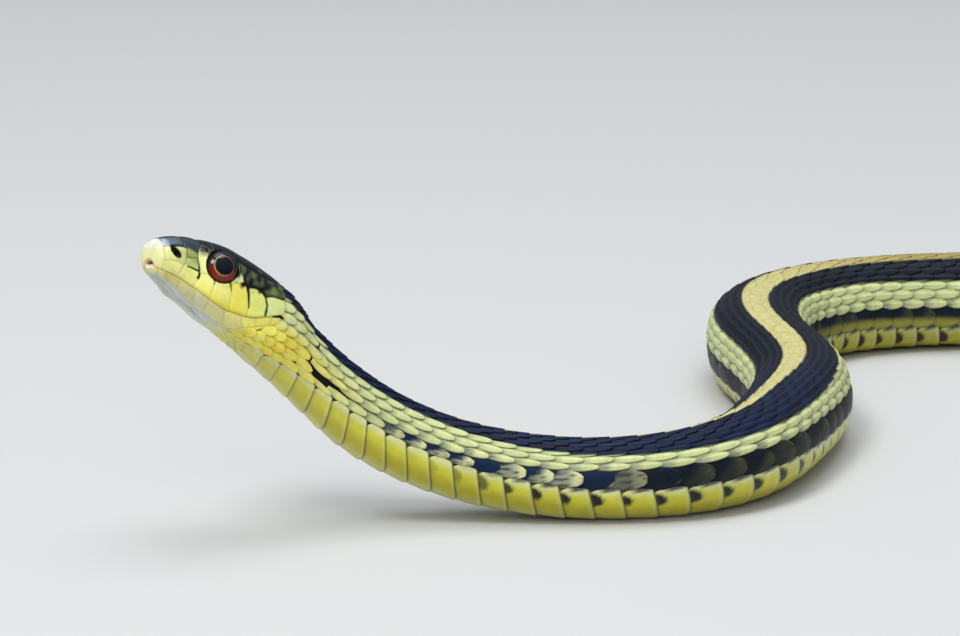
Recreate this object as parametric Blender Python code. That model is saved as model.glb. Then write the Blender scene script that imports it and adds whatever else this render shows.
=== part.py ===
"""A common garter snake, life size, lying on a flat floor with its head and neck raised.

The body is one loft along a spine. The spine is a list of turns on the floor and a
list of slopes for the raised neck, and the sections are a short table of widths and
heights. Every node is a length of that loft, so the nodes meet face to face.
Run with: blender --background --python part.py
"""

import math

import bmesh
import bpy
import numpy as np

MM = 0.001

# Driving dimensions, in millimetres unless the name says otherwise
NAME = "garter_snake"
LENGTH = 695.0
HEAD_END = 21.0
SNOUT_TIP = 0.0001
GAP = 0.3
SINK = 0.25
STEP = 0.5
SMALLEST = 1e-6

# Heading on the floor, in degrees, at distances from the snout; 0 runs along +X
TURNS = [
    (0, 33.5), (10, 24.5), (20, 19), (30, 13), (40, 7), (50, 1.5), (60, 0), (70, 12), (80, 43),
    (90, 71), (100, 72), (110, 79), (120, 100), (130, 105), (140, 92), (150, 73),
    (160, 45), (170, 23), (180, 8), (190, 3), (200, 4), (215, 2), (250, -42), (292, -76),
    (330, -30), (368, 44), (406, 80), (442, 50), (480, -24), (518, -70), (556, -48),
    (596, 22), (636, 58), (695, 28),
]
TURN_SMOOTHING = 16.0
# Slope down towards the tail, in degrees, at distances from the snout
SLOPES = [(0, 20.5), (10, 35.5), (20, 47.5), (30, 42.5), (40, 28), (50, 14), (60, 2.5), (70, 0)]
TOUCHDOWN = 60.0
# Roll of the back away from the raised head's left side, in degrees
ROLLS = [(0, 11), (14, 11), (30, 7), (45, 10), (60, 20), (85, 19), (110, 11), (130, 4), (160, 4),
         (185, 10), (230, 8), (270, 0)]
# The spine passes over this place on the floor, which puts the middle of the animal's box at 0, 0
ANCHOR_DISTANCE = 60.0
ANCHOR_PLACE = (-184.402, -43.732)

# Sections: distance, half width, top, bottom, middle, squareness of top and of bottom
SECTIONS = [
    (0.0, 3.40, 1.05, -4.07, -1.25, 2.5, 2.3),
    (2.2, 3.42, 2.31, -3.38, -1.25, 2.5, 2.3),
    (4.5, 3.56, 3.89, -3.23, -1.25, 2.5, 2.3),
    (6.2, 4.10, 4.39, -3.37, -1.60, 2.6, 2.3),
    (8.0, 4.60, 4.68, -3.64, -1.90, 2.6, 2.3),
    (10.0, 4.90, 4.72, -4.04, -2.20, 2.6, 2.3),
    (13.0, 5.30, 4.78, -4.10, -2.20, 2.5, 2.3),
    (15.5, 5.50, 4.80, -4.35, -1.60, 2.4, 2.2),
    (18.5, 5.40, 4.47, -4.43, -0.90, 2.3, 2.2),
    (22.0, 4.85, 3.75, -4.40, -0.33, 2.15, 2.1),
    (27.0, 4.50, 3.76, -4.50, -0.37, 2.1, 2.1),
    (35.0, 4.50, 4.02, -5.00, -0.42, 2.1, 2.1),
    (55.0, 4.75, 4.75, -4.70, 0.00, 2.1, 2.1),
    (68.0, 4.95, 4.85, -4.85, 0.00, 2.15, 2.2),
    (85.0, 5.60, 5.45, -5.45, 0.00, 2.3, 2.4),
    (110.0, 6.30, 5.70, -5.70, 0.00, 2.5, 2.6),
    (150.0, 6.75, 6.15, -6.15, 0.00, 2.7, 2.8),
    (200.0, 6.80, 6.35, -6.35, 0.00, 2.8, 2.8),
    (320.0, 6.90, 6.40, -6.40, 0.00, 2.8, 2.8),
    (420.0, 6.30, 5.90, -5.90, 0.00, 2.6, 2.7),
    (500.0, 5.00, 4.80, -4.80, 0.00, 2.4, 2.5),
    (530.0, 4.45, 4.25, -4.25, 0.00, 2.3, 2.4),
    (545.0, 3.85, 3.70, -3.70, 0.00, 2.2, 2.3),
    (610.0, 2.35, 2.30, -2.30, 0.00, 2.1, 2.2),
    (670.0, 1.05, 1.05, -1.05, 0.00, 2.0, 2.1),
    (695.0, 0.30, 0.30, -0.30, 0.00, 2.0, 2.0),
]
# Over this length the snout closes, squarer from side to side than from top to chin
SNOUT_LENGTH = 4.5
SNOUT_SQUARENESS_ACROSS = 4.0
SNOUT_SQUARENESS_UPRIGHT = 3.2
SNOUT_MIDDLE = 1.15

# Belly scutes: distance and length of one scute there; the tail's are twice as long as real ones
SCUTE_LENGTHS = [(21, 2.2), (40, 2.7), (60, 3.25), (80, 3.55), (200, 3.7), (440, 3.7), (530, 3.3),
                 (545, 5.2), (620, 4.2), (695, 3.0)]
SCUTE_LIP = 0.25
SCUTE_LIP_RUN = 0.2
SCUTE_EDGE = 105.0
# Angles around half a section, from the middle of the back
SIDE_ANGLES = (28, 54, 79, SCUTE_EDGE, 112, 140, 163)

# Lengths of the body, each in a node of its own, by the distance where each one starts
LENGTHS = [("neck", 21.0), ("body_1", 60.0), ("body_2", 121.0), ("body_3", 190.0),
           ("body_4", 258.0), ("body_5", 326.0), ("body_6", 394.0), ("body_7", 462.0),
           ("tail_1", 530.0), ("tail_2", 610.0)]

# Angles that touch the floor, and how many steps of the spine lie between the places tested
BELLY_ANGLES = (90, 271, 3)
BELLY_STRIDE = 4

# Head: angles around half a section, where 90 is the mouth, and the mouth's true angle
HEAD_ANGLES = (15, 30, 44, 57, 68, 77, 84, 87.5, 90, 92.5, 99, 112, 130, 148, 165, 180)
HEAD_RINGS = (0.03, 0.15, 0.45, 0.95, 1.6, 2.4)
HEAD_RING_STEP = 0.85
LAST_RING_ROOM = 1.1
MOUTH = [(0, 155), (0.45, 147), (0.77, 134), (1.0, 128), (1.7, 118.3), (2.45, 111.3), (3.0, 107.3),
         (3.5, 104), (4.4, 99.5), (5.8, 97.8), (7.9, 97.3), (8.8, 96), (9.7, 94), (10.5, 91.5),
         (11.6, 88.5), (12.35, 85.8), (13.3, 81), (14.5, 74.2), (16.0, 67.5), (18.0, 77), (20.85, 90)]
MOUTH_DEPTH = 0.38
MOUTH_START = 0.4
MOUTH_END = 16.0
LIP_SWELL = 0.12
LIP_ANGLE = 84.0
LIP_SPREAD = 8.0
LIP_SHARES = [(1, 0), (3, 1), (16, 1), (19, 0)]

# An eye is a flattened ball that looks a little up and forward
EYE_RADIUS = 2.0
EYE_HALF_DEPTH = 1.25
EYE_DISTANCE = 7.5
EYE_HEIGHT = 1.75
EYE_SIDE = 3.35
EYE_TILT = 12.0
EYE_TURN = 14.0
EYE_FACETS = (18, 12)
NOSTRIL_RADIUS = 0.5
NOSTRIL_DISTANCE = 1.55
NOSTRIL_ANGLE = 54.6
TONGUE_NOTCH_RADIUS = 0.6
TONGUE_NOTCH_HEIGHT = -1.56
HOLE_FACETS = (10, 6)

# Head plates: outlines as (distance, angle) on the animal's left; the mouth is at 90
PLATE_RISE = 0.16
PLATE_ROOT = 0.45
PLATE_BEVEL = 0.82
PLATE_RIM_SHARE = 0.55
LONG_SIDE = 1.8
WIDE_SIDE = 14.0
TOP_PLATES = {
    "internasal": [(0.62, 4), (0.5, 24), (0.75, 40), (2.25, 36), (2.4, 4)],
    "prefrontal": [(2.7, 3), (2.65, 36), (3.1, 42), (4.2, 40), (4.35, 26), (4.7, 3)],
    "supraocular": [(5.1, 13), (4.85, 25), (7.2, 25), (9.4, 27), (9.6, 18), (8.6, 10)],
    "parietal": [(10.1, 2), (9.2, 8), (9.9, 17), (9.9, 31), (12.2, 34), (14.8, 26), (16.0, 12),
                 (15.6, 2)],
}
FRONTAL = [(5.1, 0), (5.1, 10), (7.5, 8), (9.4, 0), (7.5, -8), (5.1, -10)]
SIDE_PLATES = {
    "nasal": [(0.45, 50), (0.72, 67), (1.9, 65.5), (2.8, 66), (2.75, 45), (1.5, 48)],
    "loreal": [(3.15, 54), (3.15, 62.5), (4.7, 58), (4.45, 48)],
    "preocular": [(4.75, 30), (4.6, 44), (5.0, 59), (5.6, 58), (5.4, 45), (5.3, 30)],
    "postocular_1": [(9.9, 34), (9.85, 42), (10.5, 42), (10.6, 34)],
    "postocular_2": [(9.75, 45), (9.3, 54), (10.2, 53), (10.4, 45)],
    "temporal_1": [(10.9, 36), (10.8, 50), (12.3, 49), (13.0, 47), (13.2, 38)],
    "temporal_2": [(13.6, 38), (13.4, 52), (15.2, 56), (15.8, 40)],
}
# Lip plates: distances of their edges at the mouth and at the far side, and the far side's angle
UPPER_LIP = [(0.9, 0.65, 71.5), (2.44, 2.87, 71), (4.78, 5.15, 67), (7.18, 6.9, 65),
             (10.09, 8.75, 57), (12.33, 10.95, 55), (14.4, 13.5, 62), (16.0, 15.3, 69)]
LOWER_LIP = [(0.55, 0.85, 135), (1.32, 1.95, 124), (3.01, 3.5, 116), (5.27, 6.1, 125),
             (7.16, 8.2, 124), (9.48, 10.8, 112), (11.72, 12.6, 105), (13.38, 14.1, 102),
             (15.2, 15.9, 101)]
LIP_PLATE_EDGE = 4.0
CHIN_SHIELDS = [(3.2, 4.8), (7.6, 8.6), (12.2, 12.8)]
CHIN_SHIELD_ANGLES = (132, 176)
PLATE_MARGIN = 0.12

BODY_COLOUR = (0.32, 0.34, 0.10)
HEAD_COLOUR = (0.02, 0.022, 0.028)
EYE_COLOUR = (0.035, 0.008, 0.005)
SKIN_ROUGHNESS = 0.4
EYE_ROUGHNESS = 0.08


def table_column(table, column, distance):
    """One column of a table, read at any distance along a smooth curve."""
    rows = np.array(table, float)
    x, y = rows[:, 0], rows[:, column]
    slope = np.gradient(y, x)
    flat = (np.diff(y, prepend=y[0]) * np.diff(y, append=y[-1])) <= 0
    slope[flat] = 0.0
    distance = np.clip(distance, x[0], x[-1])
    i = np.clip(np.searchsorted(x, distance) - 1, 0, len(x) - 2)
    gap = x[i + 1] - x[i]
    u = (distance - x[i]) / gap
    start, end = 2 * u**3 - 3 * u**2 + 1, 3 * u**2 - 2 * u**3
    leave, arrive = u**3 - 2 * u**2 + u, u**3 - u**2
    return start * y[i] + end * y[i + 1] + gap * (leave * slope[i] + arrive * slope[i + 1])


def smoothed(values):
    count = int(TURN_SMOOTHING / STEP) | 1
    weights = np.hanning(count + 2)[1:-1]
    weights /= weights.sum()
    pad = count // 2
    padded = np.concatenate([np.full(pad, values[0]), values, np.full(pad, values[-1])])
    return np.convolve(padded, weights, mode="valid")


def read_stations(stations, along):
    places, values = zip(*stations)
    return smoothed(np.interp(along, places, values))


class Spine:
    """The centre line with the directions along, left and up at each of its points."""

    def __init__(self):
        along = np.arange(0.0, LENGTH + STEP / 2, STEP)
        turn = np.radians(read_stations(TURNS, along))
        slope = np.radians(read_stations(SLOPES, along))
        roll = np.radians(read_stations(ROLLS, along))
        level = np.stack([np.cos(turn), np.sin(turn), 0 * turn], -1)
        tangent = np.cos(slope)[:, None] * level - np.sin(slope)[:, None] * [0, 0, 1]
        moves = (tangent[1:] + tangent[:-1]) / 2 * STEP
        centre = np.concatenate([np.zeros((1, 3)), np.cumsum(moves, axis=0)])
        anchor = int(round(ANCHOR_DISTANCE / STEP))
        centre[:, :2] += np.array(ANCHOR_PLACE) - centre[anchor, :2]
        centre[:, 2] -= centre[-1, 2]
        flat_left = np.stack([np.sin(turn), -np.cos(turn), 0 * turn], -1)
        flat_up = np.cross(flat_left, tangent)
        self.along = along
        self.tangent = tangent
        self.left = np.cos(roll)[:, None] * flat_left + np.sin(roll)[:, None] * flat_up
        self.up = np.cos(roll)[:, None] * flat_up - np.sin(roll)[:, None] * flat_left
        self.centre = centre
        around = np.radians(np.arange(*BELLY_ANGLES))
        tested = along[::BELLY_STRIDE]
        depth = np.array([self.depth(s, around) for s in tested])
        depth = np.interp(np.maximum(along, TOUCHDOWN), tested, depth)
        self.centre[:, 2] += depth - SINK

    def at(self, values, s):
        row = [np.interp(s, self.along, values[:, k]) for k in range(3)]
        return np.stack(row, -1)

    def depth(self, s, around):
        reach = section_reach(s, around)
        left, up = self.at(self.left, s), self.at(self.up, s)
        heights = reach * (np.sin(around) * left[2] + np.cos(around) * up[2])
        return -heights.min()


def section_sizes(s):
    """Half width, top and bottom from the middle, the middle's height and both squarenesses."""
    wide, top, bottom, middle, square_top, square_bottom = (
        table_column(SECTIONS, column, s) for column in range(1, 7)
    )
    u = np.clip((SNOUT_LENGTH - s) / SNOUT_LENGTH, 0, 1)
    across = (1 - u**SNOUT_SQUARENESS_ACROSS) ** (1 / SNOUT_SQUARENESS_ACROSS)
    upright = (1 - u**SNOUT_SQUARENESS_UPRIGHT) ** (1 / SNOUT_SQUARENESS_UPRIGHT)
    middle_here = middle + (SNOUT_MIDDLE - middle) * u
    return (wide * across, (top - middle) * upright, (middle - bottom) * upright,
            middle_here, square_top, square_bottom)


def section_reach(s, angle):
    """Distance from a section's middle to its outline, at an angle from the top."""
    wide, top, bottom, _, square_top, square_bottom = section_sizes(s)
    above = np.cos(angle) >= 0
    tall = np.where(above, top, bottom)
    n = np.where(above, square_top, square_bottom)
    across = np.abs(np.sin(angle) / np.maximum(wide, SMALLEST)) ** n
    upright = np.abs(np.cos(angle) / np.maximum(tall, SMALLEST)) ** n
    return (across + upright) ** (-1 / n)


def surface(spine, s, angle, rise=0.0):
    """Points on the skin at one distance, at angles in degrees, raised by a height."""
    around = np.radians(np.asarray(angle, float))
    left, up = spine.at(spine.left, s), spine.at(spine.up, s)
    middle = spine.at(spine.centre, s) + up * section_sizes(s)[3]
    reach = section_reach(s, around) + rise
    points = middle + reach[:, None] * (np.sin(around)[:, None] * left + np.cos(around)[:, None] * up)
    points[:, 2] = np.maximum(points[:, 2], 0.0)
    return points


def ring_angles(half):
    """Angles around a section, alike on both sides of the back's middle line."""
    return [0.0, *half, *[-angle for angle in reversed(half) if angle < 180]]


def scute_edges():
    """Distances of the belly scutes' edges from the head to the tail's tip."""
    places, lengths = zip(*SCUTE_LENGTHS)
    edges = [HEAD_END]
    while edges[-1] < LENGTH:
        edges.append(edges[-1] + float(np.interp(edges[-1], places, lengths)))
    return edges[:-1]


def face_outward(mesh):
    shape = bmesh.new()
    shape.from_mesh(mesh)
    if shape.calc_volume(signed=True) < 0:
        bmesh.ops.reverse_faces(shape, faces=shape.faces)
    shape.to_mesh(mesh)
    shape.free()


def finish_object(name, mesh, collection, colour, roughness=SKIN_ROUGHNESS):
    """An object of this mesh, with a material of its own, or shown as wire where it has no colour."""
    face_outward(mesh)
    obj = bpy.data.objects.new(name, mesh)
    collection.objects.link(obj)
    if colour is None:
        obj.display_type = "WIRE"
        return obj
    material = bpy.data.materials.new(f"{name}_finish")
    material.use_nodes = True
    shader = material.node_tree.nodes["Principled BSDF"]
    shader.inputs["Base Color"].default_value = (*colour, 1.0)
    shader.inputs["Roughness"].default_value = roughness
    mesh.materials.append(material)
    return obj


def new_mesh_object(name, points, faces, collection, colour):
    mesh = bpy.data.meshes.new(name)
    mesh.from_pydata([tuple(point * MM) for point in points], [], faces)
    return finish_object(name, mesh, collection, colour)


def band(first, second, faces):
    """Faces between two closed rings of the same count; shared points make triangles."""
    count = len(first)
    for k in range(count):
        a, b = first[k], first[(k + 1) % count]
        c, d = second[(k + 1) % count], second[k]
        face = [a, b, c, d]
        face = [v for i, v in enumerate(face) if v != face[i - 1]]
        if len(face) > 2:
            faces.append(face)


def cap(ring, centre, faces):
    for k in range(len(ring)):
        faces.append([ring[k], ring[(k + 1) % len(ring)], centre])


def body_length(spine, name, edges, first, last, collection):
    """One length of the body, with each belly scute's rear edge raised over the next scute."""
    angles = ring_angles(SIDE_ANGLES)
    below = [k for k, angle in enumerate(angles) if abs(angle) > SCUTE_EDGE]
    points, faces = [], []

    def add(s, rise):
        start = len(points)
        points.extend(surface(spine, s, angles, rise))
        return list(range(start, start + len(angles)))

    flat = np.zeros(len(angles))
    lip = flat.copy()
    lip[below] = SCUTE_LIP
    ring = add(first + GAP / 2, flat)
    points.append(np.mean([points[k] for k in ring], axis=0))
    cap(ring[::-1], len(points) - 1, faces)
    inner = [edge for edge in edges if first + 1 < edge < last - 1]
    for edge in inner:
        raised = add(edge, lip)
        band(ring, raised, faces)
        dropped = surface(spine, edge + SCUTE_LIP_RUN, angles, 0.0)
        ring = list(raised)
        for k in below:
            points.append(dropped[k])
            ring[k] = len(points) - 1
        band(raised, ring, faces)
    end = add(last - GAP / 2, lip)
    band(ring, end, faces)
    points.append(np.mean([points[k] for k in end], axis=0))
    cap(end, len(points) - 1, faces)
    return new_mesh_object(name, points, faces, collection, BODY_COLOUR)


def mouth_angle(s):
    places, values = zip(*MOUTH)
    return float(np.interp(s, places, values))


def head_angle(s, named):
    """True angle on the head for a named angle, where 90 always lies on the mouth."""
    side = abs(named)
    mouth = mouth_angle(s)
    true = np.interp(side, (0, 90, 180), (0, mouth, 180))
    return math.copysign(float(true), named)


def head_rise(s, named):
    side = abs(named)
    if side == 90 and MOUTH_START < s < MOUTH_END:
        reach = float(section_reach(s, np.radians([head_angle(s, 90)]))[0])
        return -min(MOUTH_DEPTH, reach / 2)
    across = math.exp(-(((side - LIP_ANGLE) / LIP_SPREAD) ** 2))
    return float(LIP_SWELL * across * np.interp(s, *zip(*LIP_SHARES)))


def head_point(spine, s, named, rise=0.0):
    return surface(spine, s, [head_angle(s, named)], head_rise(s, named) + rise)[0]


def head_shell(spine, collection):
    angles = ring_angles(HEAD_ANGLES)
    distances = list(HEAD_RINGS)
    while distances[-1] + LAST_RING_ROOM < HEAD_END - GAP / 2:
        distances.append(distances[-1] + HEAD_RING_STEP)
    distances.append(HEAD_END - GAP / 2)
    points = [surface(spine, SNOUT_TIP, [0.0])[0]]
    faces = []
    previous = None
    for s in distances:
        start = len(points)
        points.extend(head_point(spine, s, angle) for angle in angles)
        ring = list(range(start, start + len(angles)))
        if previous is None:
            cap(ring[::-1], 0, faces)
        else:
            band(previous, ring, faces)
        previous = ring
    points.append(np.mean([points[k] for k in previous], axis=0))
    cap(previous, len(points) - 1, faces)
    return new_mesh_object("head", points, faces, collection, HEAD_COLOUR)


def split_outline(outline):
    """The outline with a point added halfway along each long side."""
    result = []
    for k, (s, angle) in enumerate(outline):
        next_s, next_angle = outline[(k + 1) % len(outline)]
        result.append((s, angle))
        if abs(next_s - s) > LONG_SIDE or abs(next_angle - angle) > WIDE_SIDE:
            result.append(((s + next_s) / 2, (angle + next_angle) / 2))
    return result


def plate(spine, name, outline, collection):
    """A plate on the head: its rim stands on a sunk root, and its middle is a little higher."""
    outline = split_outline(outline)
    count = len(outline)
    centre = np.mean(outline, axis=0)
    inner = [tuple(centre + (np.array(point) - centre) * PLATE_BEVEL) for point in outline]
    points = [head_point(spine, s, angle, -PLATE_ROOT) for s, angle in outline]
    points += [head_point(spine, s, angle, PLATE_RISE * PLATE_RIM_SHARE) for s, angle in outline]
    points += [head_point(spine, s, angle, PLATE_RISE) for s, angle in inner]
    points.append(head_point(spine, *centre, PLATE_RISE))
    points.append(head_point(spine, *centre, -PLATE_ROOT))
    root, rim, top = (list(range(k * count, (k + 1) * count)) for k in range(3))
    faces = []
    band(root, rim, faces)
    band(rim, top, faces)
    cap(top, 3 * count, faces)
    cap(root[::-1], 3 * count + 1, faces)
    return new_mesh_object(name, points, faces, collection, None)


def row_of_plates(edges, near):
    """Outlines of plates side by side from a near angle to each edge's far angle."""
    outlines = []
    for (a_near, a_far, a_angle), (b_near, b_far, b_angle) in zip(edges[:-1], edges[1:]):
        outlines.append([
            (a_near + PLATE_MARGIN, near),
            (a_far + PLATE_MARGIN, a_angle),
            (b_far - PLATE_MARGIN, b_angle),
            (b_near - PLATE_MARGIN, near),
        ])
    return outlines


def head_plates(spine, collection):
    outlines = list(TOP_PLATES.values()) + list(SIDE_PLATES.values())
    outlines += row_of_plates(UPPER_LIP, 90 - LIP_PLATE_EDGE)
    outlines += row_of_plates(LOWER_LIP, 90 + LIP_PLATE_EDGE)
    outer, inner = CHIN_SHIELD_ANGLES
    outlines += row_of_plates([(a, b, outer) for a, b in CHIN_SHIELDS], inner)
    for k, outline in enumerate(outlines):
        plate(spine, f"plate_left_{k}", outline, collection)
        plate(spine, f"plate_right_{k}", [(s, -angle) for s, angle in outline], collection)
    plate(spine, "plate_frontal", FRONTAL, collection)


def eye_frame(spine, side):
    """An eye's centre and its axes: forward, up and outward."""
    left, up = spine.at(spine.left, EYE_DISTANCE), spine.at(spine.up, EYE_DISTANCE)
    forward = -spine.at(spine.tangent, EYE_DISTANCE)
    centre = spine.at(spine.centre, EYE_DISTANCE) + side * EYE_SIDE * left + EYE_HEIGHT * up
    tilt, turn = math.radians(EYE_TILT), math.radians(EYE_TURN)
    outward = side * math.cos(tilt) * left + math.sin(tilt) * up
    outward = math.cos(turn) * outward + math.sin(turn) * forward
    across = np.cross(up, outward)
    across /= np.linalg.norm(across)
    return centre, np.array([across, np.cross(outward, across), outward])


def ball(name, centre, radii, axes, facets, collection, colour):
    mesh = bpy.data.meshes.new(name)
    shape = bmesh.new()
    bmesh.ops.create_uvsphere(shape, u_segments=facets[0], v_segments=facets[1], radius=1.0)
    for vertex in shape.verts:
        vertex.co = ((np.array(vertex.co) * radii) @ axes + centre) * MM
    shape.to_mesh(mesh)
    shape.free()
    return finish_object(name, mesh, collection, colour, EYE_ROUGHNESS)


def apply_boolean(obj, operation, collection):
    """One Boolean with everything in a collection, applied, after which the collection is emptied."""
    modifier = obj.modifiers.new(operation.lower(), "BOOLEAN")
    modifier.operation = operation
    modifier.operand_type = "COLLECTION"
    modifier.collection = collection
    modifier.solver = "MANIFOLD"
    bpy.context.view_layer.update()
    graph = bpy.context.evaluated_depsgraph_get()
    mesh = bpy.data.meshes.new_from_object(obj.evaluated_get(graph))
    obj.modifiers.clear()
    obj.data = mesh
    for other in list(collection.objects):
        bpy.data.objects.remove(other)


def keep_largest_surface(obj):
    shape = bmesh.new()
    shape.from_mesh(obj.data)
    unseen = set(shape.verts)
    groups = []
    while unseen:
        group, queue = set(), [unseen.pop()]
        while queue:
            vertex = queue.pop()
            group.add(vertex)
            for edge in vertex.link_edges:
                other = edge.other_vert(vertex)
                if other in unseen:
                    unseen.discard(other)
                    queue.append(other)
        groups.append(group)
    largest = max(groups, key=len)
    scraps = [vertex for group in groups if group is not largest for vertex in group]
    bmesh.ops.delete(shape, geom=scraps, context="VERTS")
    shape.to_mesh(obj.data)
    shape.free()


def make_head(spine, collection, cutters):
    head = head_shell(spine, collection)
    head_plates(spine, cutters)
    apply_boolean(head, "UNION", cutters)
    for name, side in (("left", 1), ("right", -1)):
        centre, axes = eye_frame(spine, side)
        radii = np.array([EYE_RADIUS, EYE_RADIUS, EYE_HALF_DEPTH])
        ball(f"eye_{name}", centre, radii, axes, EYE_FACETS, collection, EYE_COLOUR)
        ball(f"socket_{name}", centre, radii + GAP, axes, EYE_FACETS, cutters, None)
        nostril = head_point(spine, NOSTRIL_DISTANCE, side * NOSTRIL_ANGLE)
        ball(f"nostril_{name}", nostril, NOSTRIL_RADIUS, axes, HOLE_FACETS, cutters, None)
    notch = surface(spine, SNOUT_TIP, [0.0])[0] + TONGUE_NOTCH_HEIGHT * spine.at(spine.up, 0.0)
    ball("tongue_notch", notch, TONGUE_NOTCH_RADIUS, axes, HOLE_FACETS, cutters, None)
    apply_boolean(head, "DIFFERENCE", cutters)
    keep_largest_surface(head)


def main():
    for obj in list(bpy.data.objects):
        bpy.data.objects.remove(obj)
    collection = bpy.data.collections.new(NAME)
    cutters = bpy.data.collections.new("cutters")
    bpy.context.scene.collection.children.link(collection)
    bpy.context.scene.collection.children.link(cutters)
    cutters.hide_render = True
    spine = Spine()
    edges = scute_edges()
    starts = [min(edges, key=lambda edge: abs(edge - start)) for _, start in LENGTHS] + [LENGTH]
    for (name, _), first, last in zip(LENGTHS, starts[:-1], starts[1:]):
        body_length(spine, name, edges, first, last, collection)
    make_head(spine, collection, cutters)


main()
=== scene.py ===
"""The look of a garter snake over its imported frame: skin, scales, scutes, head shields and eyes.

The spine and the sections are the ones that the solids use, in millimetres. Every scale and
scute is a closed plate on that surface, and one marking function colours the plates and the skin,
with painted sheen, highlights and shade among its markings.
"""

import math

import bpy
import numpy as np
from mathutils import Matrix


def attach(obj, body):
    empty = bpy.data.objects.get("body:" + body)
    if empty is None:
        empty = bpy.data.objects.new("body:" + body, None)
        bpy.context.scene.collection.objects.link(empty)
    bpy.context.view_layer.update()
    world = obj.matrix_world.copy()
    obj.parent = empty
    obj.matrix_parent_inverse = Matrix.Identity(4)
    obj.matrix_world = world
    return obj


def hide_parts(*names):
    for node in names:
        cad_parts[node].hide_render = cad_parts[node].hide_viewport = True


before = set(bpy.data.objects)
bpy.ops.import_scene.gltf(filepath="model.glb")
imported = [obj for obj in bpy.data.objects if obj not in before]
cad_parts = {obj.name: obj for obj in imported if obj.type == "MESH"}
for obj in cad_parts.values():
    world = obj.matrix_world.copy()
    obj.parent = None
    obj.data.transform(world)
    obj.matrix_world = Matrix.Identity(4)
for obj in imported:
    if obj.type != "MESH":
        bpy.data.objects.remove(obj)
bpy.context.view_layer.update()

MM = 0.001
LENGTH = 695.0
VENT = 530.0
SINK = 0.25
STEP = 0.5
SMALLEST = 1e-6

TURNS = [
    (0, 33.5), (10, 24.5), (20, 19), (30, 13), (40, 7), (50, 1.5), (60, 0), (70, 12), (80, 43),
    (90, 71), (100, 72), (110, 79), (120, 100), (130, 105), (140, 92), (150, 73),
    (160, 45), (170, 23), (180, 8), (190, 3), (200, 4), (215, 2), (250, -42), (292, -76),
    (330, -30), (368, 44), (406, 80), (442, 50), (480, -24), (518, -70), (556, -48),
    (596, 22), (636, 58), (695, 28),
]
TURN_SMOOTHING = 16.0
SLOPES = [(0, 20.5), (10, 35.5), (20, 47.5), (30, 42.5), (40, 28), (50, 14), (60, 2.5), (70, 0)]
TOUCHDOWN = 60.0
ROLLS = [(0, 11), (14, 11), (30, 7), (45, 10), (60, 20), (85, 19), (110, 11), (130, 4), (160, 4),
         (185, 10), (230, 8), (270, 0)]
ANCHOR_DISTANCE = 60.0
ANCHOR_PLACE = (-184.402, -43.732)
SECTIONS = [
    (0.0, 3.40, 1.05, -4.07, -1.25, 2.5, 2.3),
    (2.2, 3.42, 2.31, -3.38, -1.25, 2.5, 2.3),
    (4.5, 3.56, 3.89, -3.23, -1.25, 2.5, 2.3),
    (6.2, 4.10, 4.39, -3.37, -1.60, 2.6, 2.3),
    (8.0, 4.60, 4.68, -3.64, -1.90, 2.6, 2.3),
    (10.0, 4.90, 4.72, -4.04, -2.20, 2.6, 2.3),
    (13.0, 5.30, 4.78, -4.10, -2.20, 2.5, 2.3),
    (15.5, 5.50, 4.80, -4.35, -1.60, 2.4, 2.2),
    (18.5, 5.40, 4.47, -4.43, -0.90, 2.3, 2.2),
    (22.0, 4.85, 3.75, -4.40, -0.33, 2.15, 2.1),
    (27.0, 4.50, 3.76, -4.50, -0.37, 2.1, 2.1),
    (35.0, 4.50, 4.02, -5.00, -0.42, 2.1, 2.1),
    (55.0, 4.75, 4.75, -4.70, 0.00, 2.1, 2.1),
    (68.0, 4.95, 4.85, -4.85, 0.00, 2.15, 2.2),
    (85.0, 5.60, 5.45, -5.45, 0.00, 2.3, 2.4),
    (110.0, 6.30, 5.70, -5.70, 0.00, 2.5, 2.6),
    (150.0, 6.75, 6.15, -6.15, 0.00, 2.7, 2.8),
    (200.0, 6.80, 6.35, -6.35, 0.00, 2.8, 2.8),
    (320.0, 6.90, 6.40, -6.40, 0.00, 2.8, 2.8),
    (420.0, 6.30, 5.90, -5.90, 0.00, 2.6, 2.7),
    (500.0, 5.00, 4.80, -4.80, 0.00, 2.4, 2.5),
    (530.0, 4.45, 4.25, -4.25, 0.00, 2.3, 2.4),
    (545.0, 3.85, 3.70, -3.70, 0.00, 2.2, 2.3),
    (610.0, 2.35, 2.30, -2.30, 0.00, 2.1, 2.2),
    (670.0, 1.05, 1.05, -1.05, 0.00, 2.0, 2.1),
    (695.0, 0.30, 0.30, -0.30, 0.00, 2.0, 2.0),
]
SNOUT_LENGTH = 4.5
SNOUT_SQUARENESS_ACROSS = 4.0
SNOUT_SQUARENESS_UPRIGHT = 3.2
SNOUT_MIDDLE = 1.15
MOUTH = [(0, 155), (0.45, 147), (0.77, 134), (1.0, 128), (1.7, 118.3), (2.45, 111.3), (3.0, 107.3),
         (3.5, 104), (4.4, 99.5), (5.8, 97.8), (7.9, 97.3), (8.8, 96), (9.7, 94), (10.5, 91.5),
         (11.6, 88.5), (12.35, 85.8), (13.3, 81), (14.5, 74.2), (16.0, 67.5), (18.0, 77),
         (20.85, 90)]
MOUTH_END = 16.0

# Eyes, as in the solids
EYE_RADIUS = 2.0
EYE_HALF_DEPTH = 1.25
EYE_DISTANCE = 7.5
EYE_HEIGHT = 1.75
EYE_SIDE = 3.35
EYE_TILT = 12.0
EYE_TURN = 14.0

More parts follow.
